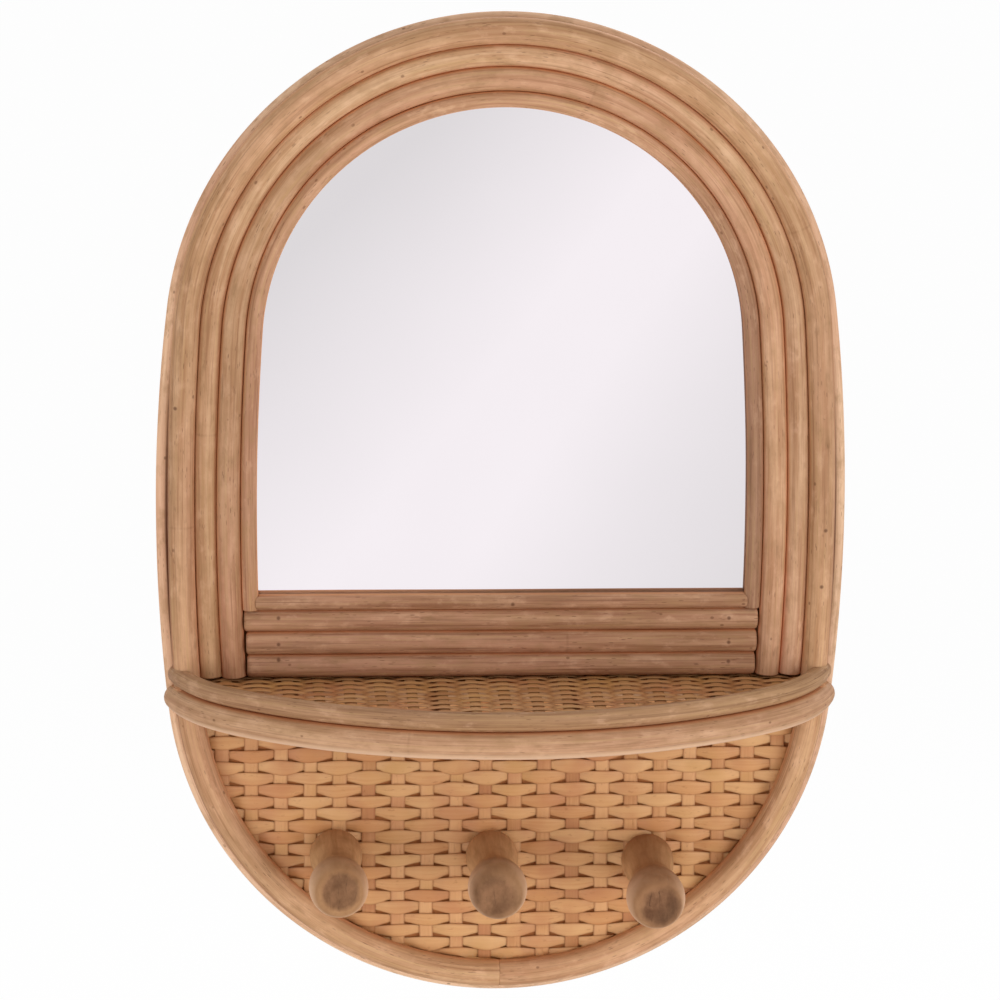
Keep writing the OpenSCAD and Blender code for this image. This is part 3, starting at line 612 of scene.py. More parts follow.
def add_mesh(name, points, quads, tris=None, uv=None, extra=None, mats=(), smooth=True):
    """Mesh from vertices, quads and triangles. uv is one pair per face corner, quads
    first; extra is {attribute: one number per vertex}."""
    mesh = bpy.data.meshes.new(name)
    tris = np.zeros((0, 3), int) if tris is None else tris
    if enclosed(points, quads, tris) < 0:
        if uv is not None:
            uv = np.concatenate([turned_over(uv[:quads.size], 4), turned_over(uv[quads.size:], 3)])
        quads, tris = quads[:, ::-1], tris[:, ::-1]
    corners = np.concatenate([quads.ravel(), tris.ravel()])
    sizes = np.concatenate([np.full(len(quads), 4), np.full(len(tris), 3)])
    mesh.vertices.add(len(points))
    mesh.vertices.foreach_set("co", np.asarray(points, np.float32).ravel())
    mesh.loops.add(len(corners))
    mesh.loops.foreach_set("vertex_index", corners.astype(np.int32))
    mesh.polygons.add(len(sizes))
    starts = np.concatenate([[0], np.cumsum(sizes)[:-1]])
    mesh.polygons.foreach_set("loop_start", starts.astype(np.int32))
    mesh.polygons.foreach_set("loop_total", sizes.astype(np.int32))
    mesh.polygons.foreach_set("use_smooth", np.full(len(sizes), smooth))
    if uv is not None:
        mesh.uv_layers.new(name="UVMap").data.foreach_set("uv", np.asarray(uv, np.float32).ravel())
    for key, value in (extra or {}).items():
        mesh.attributes.new(key, "FLOAT", "POINT").data.foreach_set(
            "value", np.asarray(value, np.float32).ravel())
    mesh.update(calc_edges=True)
    mesh.validate()
    obj = bpy.data.objects.new(name, mesh)
    for mat in mats:
        mesh.materials.append(mat)
    bpy.context.scene.collection.objects.link(obj)
    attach(obj, "root")
    return obj


def lattice(nu, nv, start=0):
    """Quads of an nu by nv grid of vertices that closes on itself in v."""
    i, j = np.meshgrid(np.arange(nu - 1), np.arange(nv), indexing="ij")
    k = (j + 1) % nv
    quads = np.stack([i * nv + j, (i + 1) * nv + j, (i + 1) * nv + k, i * nv + k], -1)
    return quads.reshape(-1, 4) + start


def lattice_uv(u, nv):
    """UV of each corner of those quads: u along, 0 to 1 round."""
    nu = len(u)
    i, j = np.meshgrid(np.arange(nu - 1), np.arange(nv), indexing="ij")
    a, b = u[i], u[i + 1]
    lo, hi = j / nv, (j + 1) / nv
    return np.stack([np.stack([a, lo], -1), np.stack([b, lo], -1),
                     np.stack([b, hi], -1), np.stack([a, hi], -1)], 2).reshape(-1, 2)


def drift(s, seed, wave):
    """Smooth number between about -1 and 1 along s: five sines of seeded phase whose
    wavelengths stand around wave."""
    rng = np.random.default_rng(seed)
    k = 2 * np.pi / (wave * rng.uniform(0.6, 2.2, 5))
    phase = rng.uniform(0, 2 * np.pi, 5)
    return np.sin(s[..., None] * k + phase).sum(-1) / 3.2


# ---------------------------------------------------------------- paths

def end_r(o):
    """Radius of the arcs at the outline's two ends: half width less bow."""
    return o[0] - o[2]


def end_h(o):
    """Height of the upper arc's centre over the middle: half height less that radius."""
    return o[1] - end_r(o)


def side_k(o):
    """How far a side arc's centre lies beyond the middle. With that height h and the
    bow b it is (h squared less b squared) over 2 b, so that the arcs meet smoothly."""
    return (end_h(o) ** 2 - o[2] ** 2) / (2 * o[2])


def side_r(o):
    """Radius of the side arcs."""
    return o[0] + side_k(o)


def turn_of(o):
    """Angle in degrees, seen from a side arc's centre, at which it meets the end arcs."""
    return math.degrees(math.atan(end_h(o) / side_k(o)))


def side_x(o, off, y):
    """x of the right side arc, off inside the outline, at height y."""
    return math.sqrt((side_r(o) - off) ** 2 - y * y) - side_k(o)


def loop_arcs(o, off, low=0):
    """Arcs (centre x, centre y, radius, from, to) once round the oval from its lowest
    point, which lies low below its place."""
    t, h, k = turn_of(o), end_h(o), side_k(o)
    r, big = end_r(o) - off, side_r(o) - off
    arcs = [(0, -h, r, 270, 360 - t), (-k, 0, big, -t, t), (0, h, r, t, 180 - t),
            (k, 0, big, 180 - t, 180 + t), (0, -h, r, 180 + t, 270)]
    return [(x, y - low, *rest) for x, y, *rest in arcs]


def arch_arcs(o, off, foot):
    """Arcs from the right foot over the top to the left foot."""
    t, h, k = turn_of(o), end_h(o), side_k(o)
    r, big = end_r(o) - off, side_r(o) - off
    sweep = math.degrees(math.asin(foot / big))
    return [(-k, 0, big, sweep, t), (0, h, r, t, 180 - t), (k, 0, big, 180 - t, 180 - sweep)]


def loop_side(y):
    """x of the outer loop's middle line on its right side, at height y: on the side arc,
    or on the lower arc where y lies below their meeting."""
    low = np.sqrt((end_r(POLES) - LOOP_D / 2) ** 2 - (y + end_h(POLES)) ** 2)
    big = side_r(POLES) - LOOP_D / 2
    side = np.sqrt(big ** 2 - y ** 2) - side_k(POLES)
    return np.where(y < -big * math.sin(math.radians(turn_of(POLES))), low, side)


def landed(points):
    """Cuts a rim's ends flat in front of the edge ring and hollow round the outer loop."""
    x, out, z = points.T
    out = np.maximum(out, RIM_LAND)
    deep = (NOTCH_R * LOOP_D + CLASP_GAP) ** 2 - (out - resting(LOOP_D)) ** 2
    clasp = loop_side(z) + np.sqrt(np.clip(deep, 0, None))
    x = np.where(deep > 0, np.sign(x) * np.maximum(np.abs(x), clasp), x)
    return np.stack([x, out, z], -1)


def coped(reach, level):
    """Cuts a rail's ends hollow, to fit round the bead whose middle line stands at reach
    from the middle and level from the wall."""

    def fit(points):
        x, y, out = points.T
        hollow = np.sqrt(np.clip((NOTCH_R * BEAD_D) ** 2 - (out - level) ** 2, 0, None))
        limit = reach - hollow - COPE_GAP
        return np.stack([np.clip(x, -limit, limit), y, out], -1)

    return fit


def rim_sizes():
    """The rims in plan: x of the end arcs' centres, radius of the front arc, half its
    sweep, and the angle at which the end arcs begin, both in degrees. The front arc
    meets both end arcs smoothly and reaches SHELF_REACH."""
    mid_z = SHELF_TOP - WEAVE_HALF + RIM_LIFT
    end_x = side_x(OUTLINE, 0, mid_z + RING_LOW) - RIM_INSET * LOW_RIM_D
    cx = end_x - math.sqrt(RIM_END_R ** 2 - (RIM_LAND + RIM_END_BACK) ** 2)
    span = RIM_END_BACK + SHELF_REACH
    front_r = (cx ** 2 + span ** 2 - RIM_END_R ** 2) / (2 * (span - RIM_END_R))
    turn = math.degrees(math.asin(cx / (front_r - RIM_END_R)))
    tip = math.degrees(math.atan((RIM_LAND + RIM_END_BACK) / (end_x - cx))) - RIM_OVER
    return cx, front_r, turn, tip


def rim_arcs():
    """Arcs of a shelf rim in plan, from its right end round the front to its left end."""
    cx, front_r, turn, tip = rim_sizes()
    return [(cx, -RIM_END_BACK, RIM_END_R, tip, 90 - turn),
            (0, SHELF_REACH - front_r, front_r, 90 - turn, 90 + turn),
            (-cx, -RIM_END_BACK, RIM_END_R, 90 + turn, 180 - tip)]


def sample(arcs, s):
    """Points and outward normals at lengths s along a chain of arcs, in mm."""
    spans = np.array([r * math.radians(abs(b - a)) for _, _, r, a, b in arcs])
    starts = np.concatenate([[0], np.cumsum(spans)])
    k = np.clip(np.searchsorted(starts, s, side="right") - 1, 0, len(arcs) - 1)
    table = np.array(arcs, float)[k]
    f = (s - starts[k]) / spans[k]
    a = np.radians(table[:, 3] + (table[:, 4] - table[:, 3]) * f)
    normal = np.stack([np.cos(a), np.sin(a)], -1)
    return table[:, :2] + table[:, 2:3] * normal, normal


def length_of(arcs):
    """Length of a chain of arcs, in mm."""
    return sum(r * math.radians(abs(b - a)) for _, _, r, a, b in arcs)


def facing(x, y, depth):
    """Seen from the front: x right, y up, depth from the wall, in mm, to the row frame."""
    return np.stack([x, -depth, y - HANG], -1) * MM


def planned(x, out, z):
    """Seen from above: x right, out from the wall, z up, in mm, to the row frame."""
    return np.stack([x, -out, z - HANG], -1) * MM


# ---------------------------------------------------------------- poles

def pole(name, node, arcs, d, level, plan, mat, seed, knots=(), bevel=0.9, bow=0.12,
         grow=1.024, fit=None, fine=0):
    """Tube of diameter d along the arcs, at the given level out of their plane.

    Its radius is d/2 times grow, with a slow drift of half a percent and a low swelling
    at each of knots, which are lengths along it; its ends are rounded off over bevel mm.
    Its middle line wanders by bow mm. plan is True where the arcs are seen from above.
    fit(points), in the pole's own x, y and level, cuts its ends to what they meet, and
    the rings stand half a millimetre apart over fine mm there."""
    total = length_of(arcs)
    steps = np.linspace(0, total, max(int(total / RING_STEP), 12))
    near = np.concatenate([np.array([0, 0.15, 0.4, 0.7, 1.0]) * bevel,
                           np.arange(0.5, fine, 0.5)])
    close = [k + np.array([-3, -1.6, -0.8, -0.3, 0, 0.3, 0.8, 1.6, 3]) for k in knots]
    s = np.unique(np.concatenate([steps, near, total - near, *close]).clip(0, total).round(3))
    p, n = sample(arcs, s)
    theta = np.arange(ROUND) / ROUND * 2 * np.pi
    radius = np.full(len(s), d / 2) * (grow - 0.004 + 0.006 * drift(s, seed, 90))
    knot = np.zeros(len(s))
    for k in knots:
        knot += np.exp(-((s - k) / 0.9) ** 2)
        radius += d * (0.003 * np.exp(-((s - k) / 1.2) ** 2)
                       + 0.006 * np.exp(-((s - k) / 14) ** 2))
    out = np.minimum(s, total - s)
    arc = np.sqrt(np.clip(1 - (1 - out / bevel) ** 2, 0, 1))
    radius = radius - np.where(out < bevel, bevel * (1 - arc), 0)
    lobes = 1 + 0.006 * np.cos(2 * theta[None] + 3 * drift(s, seed + 5, 260)[:, None])
    r = radius[:, None] * lobes
    wander = bow * drift(s, seed + 1, 160)
    lift = bow * drift(s, seed + 2, 190)
    centre = p + n * wander[:, None]
    x = centre[:, :1] + n[:, :1] * r * np.cos(theta)
    y = centre[:, 1:] + n[:, 1:] * r * np.cos(theta)
    h = level + lift[:, None] + r * np.sin(theta)
    tube = np.stack([x, y, h], -1)
    caps = tube[[0, -1]].mean(1)
    inside = tube[[0, -1]] * 0.5 + caps[:, None] * 0.5
    points = np.concatenate([tube.reshape(-1, 3), inside.reshape(-1, 3), caps])
    if fit:
        points = fit(points)
    points = (planned if plan else facing)(*points.T)
    nu = len(s)
    quads = lattice(nu, ROUND)
    uv = lattice_uv(s * MM, ROUND)
    a = nu * ROUND
    j = np.arange(ROUND)
    k = (j + 1) % ROUND
    last = (nu - 1) * ROUND
    inner = [np.stack([j, k, a + k, a + j], -1),
             np.stack([last + k, last + j, a + ROUND + j, a + ROUND + k], -1)]
    fans = [np.stack([a + j, a + k, np.full(ROUND, a + 2 * ROUND)], -1),
            np.stack([a + ROUND + k, a + ROUND + j, np.full(ROUND, a + 2 * ROUND + 1)], -1)]
    quads = np.concatenate([quads, *inner])
    tris = np.concatenate(fans)
    ring = np.stack([j / ROUND, (j + 1) / ROUND], -1)

    def flat(u, order, count):
        """UV of an end's faces, all at u; count is the number of corners of a face."""
        v = [ring[:, i] for i in order]
        if count == 3:
            v.append(ring.mean(1))
        v = np.stack(v, 1)
        return np.stack([np.full_like(v, u), v], -1).reshape(-1, 2)

    top = total * MM
    uv = np.concatenate([uv, flat(0, (0, 1, 1, 0), 4), flat(top, (1, 0, 0, 1), 4),
                         flat(0, (0, 1), 3), flat(top, (1, 0), 3)])
    end = np.concatenate([np.repeat((out < 0.02).astype(float) * 0.5, ROUND),
                          np.ones(2 * ROUND + 2)])
    knot = np.concatenate([np.repeat(knot, ROUND), np.zeros(2 * ROUND + 2)])
    obj = add_mesh(name, points, quads, tris, uv, {"end": end, "knot": knot}, [mat])
    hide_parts(node)
    return obj


def straight(x0, x1, y):
    """A straight run from x0 to x1 at height y, as an arc of a very large circle that
    bulges upwards by next to nothing."""
    half = math.degrees((x1 - x0) / 2 / STRAIGHT_R)
    return [((x0 + x1) / 2, y - STRAIGHT_R, STRAIGHT_R, 90 + half, 90 - half)]


# tones of the poles
LOOP_TONES = dict(pale=rgb(189, 147, 110), mid=rgb(171, 126, 89), dark=rgb(134, 90, 58))
POLE_TONES = dict(pale=rgb(196, 154, 117), mid=rgb(178, 132, 95), dark=rgb(142, 96, 62))
BEAD_TONES = dict(pale=rgb(184, 138, 107), mid=rgb(162, 116, 85), dark=rgb(118, 75, 48))
ROSE = dict(pale=rgb(182, 138, 105), mid=rgb(158, 112, 81), dark=rgb(112, 69, 44))
BEIGE = dict(pale=rgb(226, 188, 154), mid=rgb(208, 166, 132), dark=rgb(160, 116, 82))
TAN = dict(pale=rgb(176, 136, 98), mid=rgb(154, 114, 78), dark=rgb(112, 76, 46))
SAND = dict(pale=rgb(198, 155, 118), mid=rgb(176, 132, 96), dark=rgb(136, 95, 64))

# middle lines: how far inside the loop's outline, or at what height
middle_off = LOOP_D + GAP + MIDDLE_D / 2
inner_off = middle_off + MIDDLE_D / 2 + GAP + INNER_D / 2
bead_off = inner_off + INNER_D / 2 + GAP + BEAD_D / 2
lower_rail_y = SHELF_TOP + FOOT_GAP + RAIL_D / 2
centre_rail_y = lower_rail_y + RAIL_D + GAP
upper_rail_y = centre_rail_y + RAIL_D / 2 + GAP + UPPER_RAIL_D / 2
bead_rail_y = upper_rail_y + UPPER_RAIL_D / 2 + GAP + BEAD_D / 2
shelf_mid_z = SHELF_TOP - WEAVE_HALF
top_rim_z = shelf_mid_z + RIM_LIFT
low_rim_z = top_rim_z - TOP_RIM_D / 2 - GAP - LOW_RIM_D / 2
bar_z = shelf_mid_z - WEAVE_HALF - GAP - BAR_D / 2
slat_z = shelf_mid_z - WEAVE_HALF - GAP - SLAT_D / 2


def make_poles():
    """All the bent and straight poles, each with its own finish."""
    # the finishes' base, crease, welt, hem, flank and tints arguments paint light and shade on the poles
    pole("edge_ring_cane", "edge_ring", loop_arcs(OUTLINE, RING_D / 2, RING_LOW),
                 RING_D, RING_DEPTH, False,
                 pole_finish("ring_cane", d=RING_D, seed=1, stain=0.25, valley_light=0.2,
                             inner_groove_shade=0.95, grain=0.3, tints=(1.22, 1.07, 1.22, 1.06, 1.03),
                             **BEIGE), 11,
                 bow=0.02, grow=0.985, bevel=0.25)
    pole("outer_loop_cane", "outer_loop", loop_arcs(POLES, LOOP_D / 2),
                 LOOP_D, resting(LOOP_D), False,
                 pole_finish("loop_cane", d=LOOP_D, seed=2, stain=0.5, valley_light=0.25,
                             rosy=0.25, outer_groove_shade=0.5,
                             tints=(1.03, 1.0, 1.2, 1.22, (1.16, 1.18, 1.18)),
                             pins=((-192.2, -47.0), (189.1, -156.0), (190.9, -121.9)),
                             **LOOP_TONES), 21,
                 knots=(560, 1180), bevel=0.45)
    foot = SHELF_TOP + FOOT_GAP
    pole("middle_arch_cane", "middle_arch", arch_arcs(POLES, middle_off, foot),
                 MIDDLE_D, resting(MIDDLE_D), False,
                 pole_finish("middle_cane", d=MIDDLE_D, seed=3, stain=0.5,
                             tints=(1.01, (1.06, 1.08, 1.14), (0.98, 0.98, 0.9),
                                    (1.28, 1.28, 1.42), (1.2, 1.26, 1.3)),
                             pins=((-70.3, 135.0),), **POLE_TONES), 31,
                 knots=(790,))
    pole("inner_arch_cane", "inner_arch", arch_arcs(POLES, inner_off, foot),
                 INNER_D, resting(INNER_D), False,
                 pole_finish("inner_cane", d=INNER_D, seed=4, stain=0.5,
                             tints=(0.94, (1.1, 1.1, 1.14), (0.90, 0.79, 0.78),
                                    (1.04, 1.0, 1.04), 1.05),
                             **POLE_TONES), 41,
                 knots=(395,))
    bead_x = side_x(POLES, bead_off, bead_rail_y)
    bead_level = GLASS_FRONT + GAP + BEAD_D / 2
    pole("mirror_bead_cane", "mirror_bead",
                 arch_arcs(POLES, bead_off, bead_rail_y - BEAD_D / 2),
                 BEAD_D, bead_level, False,
                 pole_finish("bead_cane", d=BEAD_D, seed=5, stain=0.3, base=0.6,
                             tints=(1.04, 0.77, 1.4, 0.87, (1.28, 1.34, 1.34)), **BEAD_TONES), 51,
                 bow=0.1)
    pole("bead_rail_cane", "bead_rail",
                 straight(RAIL_SHORT - bead_x, bead_x - RAIL_SHORT, bead_rail_y),
                 BEAD_D, bead_level, False,
                 pole_finish("bead_rail_cane", d=BEAD_D, seed=6, stain=0.4, base=0.6,
                             pins=((6.3, -166.1),), **ROSE), 61,
                 bow=0.1, bevel=0.4, fit=coped(bead_x, bead_level))

    # the three rails: short is how far the left and the right end stand off the arch,
    # high the left nail head's height above the rail's middle
    for i, (node, y, d, short, high, knots) in enumerate((
            ("upper_rail", upper_rail_y, UPPER_RAIL_D, (0.2, 0.5), 2.6, ()),
            ("centre_rail", centre_rail_y, RAIL_D, (0.8, 0.4), 0.4, (190,)),
            ("lower_rail", lower_rail_y, RAIL_D, (0.6, 0.4), 4.4, ()))):
        x = side_x(POLES, inner_off + INNER_D / 2, y - d / 2)
        pins = ((-132.0, y + high - HANG), (134.6, y + high / 2 - HANG))
        pole(node + "_cane", node, straight(short[0] - x, x - short[1], y),
                     d, resting(d), False,
                     pole_finish(node + "_cane", d=d, seed=7 + i, stain=0.5, pores=1.3,
                                 pins=pins, **ROSE), 71 + 3 * i,
                     knots=knots, bow=0.15, bevel=2.2)
    for node, z, d, knots, lying, under_light, tones in (
            ("shelf_top_rim", top_rim_z, TOP_RIM_D, (), -1, 0.0, TAN),
            ("shelf_lower_rim", low_rim_z, LOW_RIM_D, (300,), 1, 0.8, SAND)):
        pole(node + "_cane", node, rim_arcs(), d, z, True,
                     pole_finish(node + "_cane", d=d, seed=int(d), stain=0.4, valley_light=0.6,
                                 lying=lying, rosy=0.2, under_light=under_light, **tones), int(d) * 7,
                     knots=knots, bow=0.04, bevel=0.3, grow=0.988,
                     fit=landed, fine=20)
    x = side_x(POLES, LOOP_D, bar_z - BAR_D / 2) - BAR_SHORT
    pole("shelf_back_bar_cane", "shelf_back_bar", straight(-x, x, bar_z),
                 BAR_D, resting(BAR_D), False,
                 pole_finish("bar_cane", d=BAR_D, seed=15, **POLE_TONES), 151,
                 knots=(170,), bow=0.1)


# ---------------------------------------------------------------- woven cane

PEEL_TONES = dict(pale=rgb(220, 170, 116), mid=rgb(208, 150, 96), dark=rgb(196, 132, 82))
STAKE_TONES = dict(pale=rgb(218, 164, 112), mid=rgb(204, 146, 94), dark=rgb(174, 114, 68))
SHELF_TONES = dict(pale=rgb(196, 146, 96), mid=rgb(178, 124, 76), dark=rgb(154, 102, 58))


def band_grid(name, node, lines, mat, thick=CANE_T):
    """Closed bands, one for each line of the weave, in one mesh.

    A line is (map, x, across, rise, half, tint, lane): positions x along the band, its
    middle across, its rise out of the plane and half its width, all in mm. Each band's
    section is seven points on a convex face and seven on the back, and its ends are
    closed by strips; map(x, across, out) takes it into the row frame and clips it. thick
    is the cane's thickness."""
    v = np.array([-1, -0.93, -0.55, 0, 0.55, 0.93, 1])
    face = thick * (0.5 - 0.34 * v ** 2 - 0.06 * v ** 8)
    back = -thick * (0.5 - 0.10 * v ** 2 - 0.20 * v ** 8)
    ring_v = np.concatenate([v, v[::-1]])
    ring_h = np.concatenate([face, back[::-1]])
    count = len(ring_v)
    points, quads, uvs, tints, lanes, start = [], [], [], [], [], 0
    for to_frame, x, across, rise, half, tint, lane in lines:
        nx = len(x)
        ax = across[:, None] + half[:, None] * ring_v
        out = rise[:, None] + ring_h
        points.append(to_frame(np.broadcast_to(x[:, None], ax.shape), ax, out).reshape(-1, 3))
        q = lattice(nx, count, start)
        k = np.arange(6)
        cap = np.stack([k, k + 1, count - 2 - k, count - 1 - k], -1)
        last = start + (nx - 1) * count
        quads += [q, cap + start, cap[:, ::-1] + last]
        along = np.broadcast_to(x[:, None] * MM, ax.shape).ravel()
        side = np.broadcast_to(ring_v * 0.5 + 0.5, ax.shape).ravel()
        for part in (q, cap + start, cap[:, ::-1] + last):
            uvs.append(np.stack([along[part.ravel() - start], side[part.ravel() - start]], -1))
        tints.append(np.repeat(tint, count))
        lanes.append(np.full(nx * count, float(lane)))
        start += nx * count
    obj = add_mesh(name, np.concatenate(points), np.concatenate(quads), None, np.concatenate(uvs),
                   {"tint": np.concatenate(tints), "lane": np.concatenate(lanes)}, [mat])
    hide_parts(node)
    return obj


def woven(rows, pitch, stakes, row_pitch, start, narrow, widest, seed, swing, belly, wobble,
          dip_shade=0.0, loose=1.0):
    """Lines of the weavers: a cosine over one stake and under the next, wide and sagging
    over the crest and narrow behind. Each length between two hidden crossings has its
    own tint, swelling, sag and lean.

    pitch lies between stakes and row_pitch between rows, of which the first begins at
    start. A cane's width, in rows, is narrow behind and narrow plus widest over the
    crest. It rises by swing, sags by about belly and leans by about wobble, in mm. dip
    adds to the tint where it goes under, which paints shade there, and loose scales how
    unevenly the rows lie."""
    rng = np.random.default_rng(seed)
    count = int(round(stakes * 13)) + 1
    x = np.linspace(-(stakes / 2 + 0.5) * pitch, (stakes / 2 + 0.5) * pitch, count + 13)
    lines = []
    for i in range(rows):
        phase = np.pi * (x / pitch + (stakes - 1) / 2 + i)
        wave = np.cos(phase + 0.16 * drift(x, seed + 200 + i, 50))
        height = swing * np.sign(wave) * np.abs(wave) ** 0.8 * rng.uniform(0.9, 1.0)
        piece = np.floor((x / pitch + (stakes - 1) / 2 + i + 1) / 2).astype(int) % CHANCES
        tone = rng.uniform(0, 1, CHANCES)[piece]
        own = rng.uniform(0.15, 0.85)
        # dip paints shade where the weaver goes under a stake
        tint = own * 0.45 + 0.55 * tone + dip_shade * np.clip(0.35 - wave, 0, 1)
        swell = loose * rng.uniform(-0.5, 0.5, CHANCES)[piece]
        sag = rng.uniform(0.3, 1.3, CHANCES)[piece]
        crest = 0.5 + 0.5 * wave
        half = (row_pitch / 2) * (narrow + widest * crest) + swell * crest
        lean = rng.uniform(-1, 1, CHANCES)[piece] * np.sin(phase)
        middle = (start + (i + 0.5) * row_pitch - belly * crest * sag
                  + 0.3 * loose * drift(x, seed + i, 40)
                  + wobble * (0.6 * lean * crest + rng.uniform(-1, 1)))
        lines.append((x, middle, height, half, tint, i + 0.37 * seed))
    return lines


def staked(stakes, pitch, low, high, seed, width=STAKE_W):
    """Lines of the flat stakes, from low to high along them, which wander a little."""
    rng = np.random.default_rng(seed)
    along = np.linspace(low, high, 60)
    for i in range(stakes):
        middle = (i - (stakes - 1) / 2) * pitch + 0.45 * drift(along, seed + 50 + i, 60)
        rise = 0.08 * drift(along, seed + i, 30)
        half = np.full(len(along), width / 2 * rng.uniform(0.90, 1.02))
        tint = np.clip(rng.uniform(0.1, 0.9) + 0.25 * drift(along, seed + 90 + i, 25), 0, 1)
        yield along, middle, rise, half, tint, i + 0.61


def make_panel():
    """The woven panel inside the lower end of the outer loop."""
    front = BOARD_FRONT + WEAVE_LIFT + 2 * WEAVE_HALF
    depth = front - WEAVE_HALF
    chord = math.sqrt((LOOP_D / 2) ** 2 - (resting(LOOP_D) - front) ** 2)
    off = LOOP_D / 2 + chord + SEAT
    radius, middle = end_r(POLES) - off, -end_h(POLES)
    top = bar_z - BAR_D / 2 - SEAT
    foot = -(POLES[1] - off)
    row_pitch = (top - foot) / PANEL_ROWS

    def inside(x, y, out):
        """A weaver's place, its ends cut along the circle inside the loop."""
        half = np.sqrt(np.clip(radius ** 2 - (y - middle) ** 2, 1, None))
        return facing(np.clip(x, -half, half), y, depth + out)

    rows = woven(PANEL_ROWS, PANEL_PITCH, PANEL_STAKES, row_pitch, foot, narrow=0.62,
                 widest=0.55, seed=5, swing=1.33, belly=0.6, wobble=0.45)
    lines = [(inside, *line) for line in rows]
    band_grid("panel_weave_bands", "panel_weavers", [trim(line, radius, middle) for line in lines],
              peel_finish("panel_peel", edge=rgb(146, 80, 34), seed=1, width=0.0075, **PEEL_TONES))

    def upright(y, x, out):
        """A stake's place, its foot cut along the same circle."""
        reach = np.sqrt(np.clip(radius ** 2 - x ** 2, 1, None))
        return facing(x, np.clip(y, middle - reach, top), depth + out)

    flat = staked(PANEL_STAKES, PANEL_PITCH, foot - 0.5, top, 31, PANEL_STAKE_W)
    stakes = [trim_stake((upright, *line), radius, middle) for line in flat]
    band_grid("panel_stake_bands", "panel_stakes", stakes,
              peel_finish("panel_stake_peel", edge=rgb(146, 80, 34), seed=2, width=0.007, **STAKE_TONES))


def trim(line, radius, middle):
    """Drops the samples of a weaver that lie beyond the circle."""
    to_frame, x, across, rise, half, tint, lane = line
    reach = math.sqrt(max(radius ** 2 - (abs(across.mean() - middle) - 4) ** 2, 1)) + 1.5
    keep = np.abs(x) < reach
    return (to_frame, x[keep], across[keep], rise[keep], half[keep], tint[keep], lane)


def trim_stake(line, radius, middle):
    """Drops the samples of a stake that lie below the circle."""
    to_frame, y, across, rise, half, tint, lane = line
    reach = math.sqrt(max(radius ** 2 - (abs(across.mean()) - 4) ** 2, 1)) + 3
    keep = y > middle - reach
    return (to_frame, y[keep], across[keep], rise[keep], half[keep], tint[keep], lane)


def shelf_half(out, off):
    """Half the shelf's width at a distance out from the wall, drawn in by off."""
    cx, front_r, turn, _ = rim_sizes()
    near = cx + np.sqrt(np.clip((RIM_END_R - off) ** 2 - (out + RIM_END_BACK) ** 2, 0, None))
    c = SHELF_REACH - front_r
    far = np.sqrt(np.clip((front_r - off) ** 2 - (out - c) ** 2, 0, None))
    meeting = (RIM_END_R - off) * math.cos(math.radians(turn))
    return np.where(out + RIM_END_BACK < meeting, near, far)


def make_shelf_weave():
    """The shelf's woven top, lying between the board and the inside of the upper rim."""
    off = TOP_RIM_D / 2 + SEAT
    back = BOARD_FRONT + WEAVE_BACK
    front = SHELF_REACH - off
    row_pitch = (front - back) / SHELF_ROWS
    leg = side_x(POLES, LOOP_D, shelf_mid_z) - SEAT
    clear = resting(LOOP_D) + LOOP_D / 2 + SEAT

    def half_at(out):
        """Half the weave's width at out: between the loop's sides, then inside the rim."""
        full = shelf_half(out, off)
        return np.where(out < clear + 0.5, np.minimum(full, leg), full)

    def inside(x, out, rise):
        """A weaver's place, its ends cut along the rim."""
        half = half_at(out)
        return planned(np.clip(x, -half, half), out, shelf_mid_z + rise)

    lines = []
    # dip paints shade on the weavers where they go under the stakes
    rows = woven(SHELF_ROWS, SHELF_PITCH, SHELF_STAKES, row_pitch, back, narrow=0.98,
                 widest=0.14, seed=8, swing=1.0, belly=0.0, wobble=0.1, dip_shade=0.9, loose=0.3)
    for x, across, rise, half, tint, lane in rows:
        keep = np.abs(x) < max(half_at(across.mean() + d) for d in (-3, 0, 3)) + 2
        across = np.clip(across, back + ROW_MARGIN, front - ROW_MARGIN)
        lines.append((inside, x[keep], across[keep], rise[keep], half[keep], tint[keep], lane))
    band_grid("shelf_weave_bands", "shelf_weavers", lines,
              peel_finish("shelf_peel_cane", edge=rgb(150, 106, 66), seed=3, width=0.005,
                          **SHELF_TONES), SHELF_CANE_T)

    def outward(out, x, rise):
        """A stake's place, its ends cut along the rim and the loop."""
        return planned(x, np.clip(out, back_at(x), front_at(x)), shelf_mid_z + rise)

    def front_at(x):
        """Where the rim's inside stands in front of x: on its front arc or an end arc."""
        cx, front_r, turn, _ = rim_sizes()
        deep = np.sqrt(np.clip((front_r - off) ** 2 - x ** 2, 1, None))
        round_end = np.sqrt(np.clip((RIM_END_R - off) ** 2 - (np.abs(x) - cx) ** 2, 1, None))
        return np.where(np.abs(x) < (front_r - off) * math.sin(math.radians(turn)),
                        SHELF_REACH - front_r + deep, -RIM_END_BACK + round_end)

    def back_at(x):
        """Where a stake begins: at the board, or in front of the loop's side."""
        return np.where(np.abs(x) > leg - STAKE_W, clear, back)

    stakes = []
    for along, middle, rise, half, tint, lane in staked(SHELF_STAKES, SHELF_PITCH, back, front, 61):
        x = middle.mean()
        keep = along < front_at(np.array([abs(x) - 4]))[0] + 2.5
        if keep.sum() > 3:
            stakes.append((outward, along[keep], middle[keep], rise[keep], half[keep],
                           tint[keep], lane))
    band_grid("shelf_stake_bands", "shelf_stakes", stakes,
              peel_finish("shelf_stake_peel", edge=rgb(126, 84, 50), seed=4, width=0.007,
                          **SHELF_TONES), SHELF_CANE_T)


# ---------------------------------------------------------------- pegs

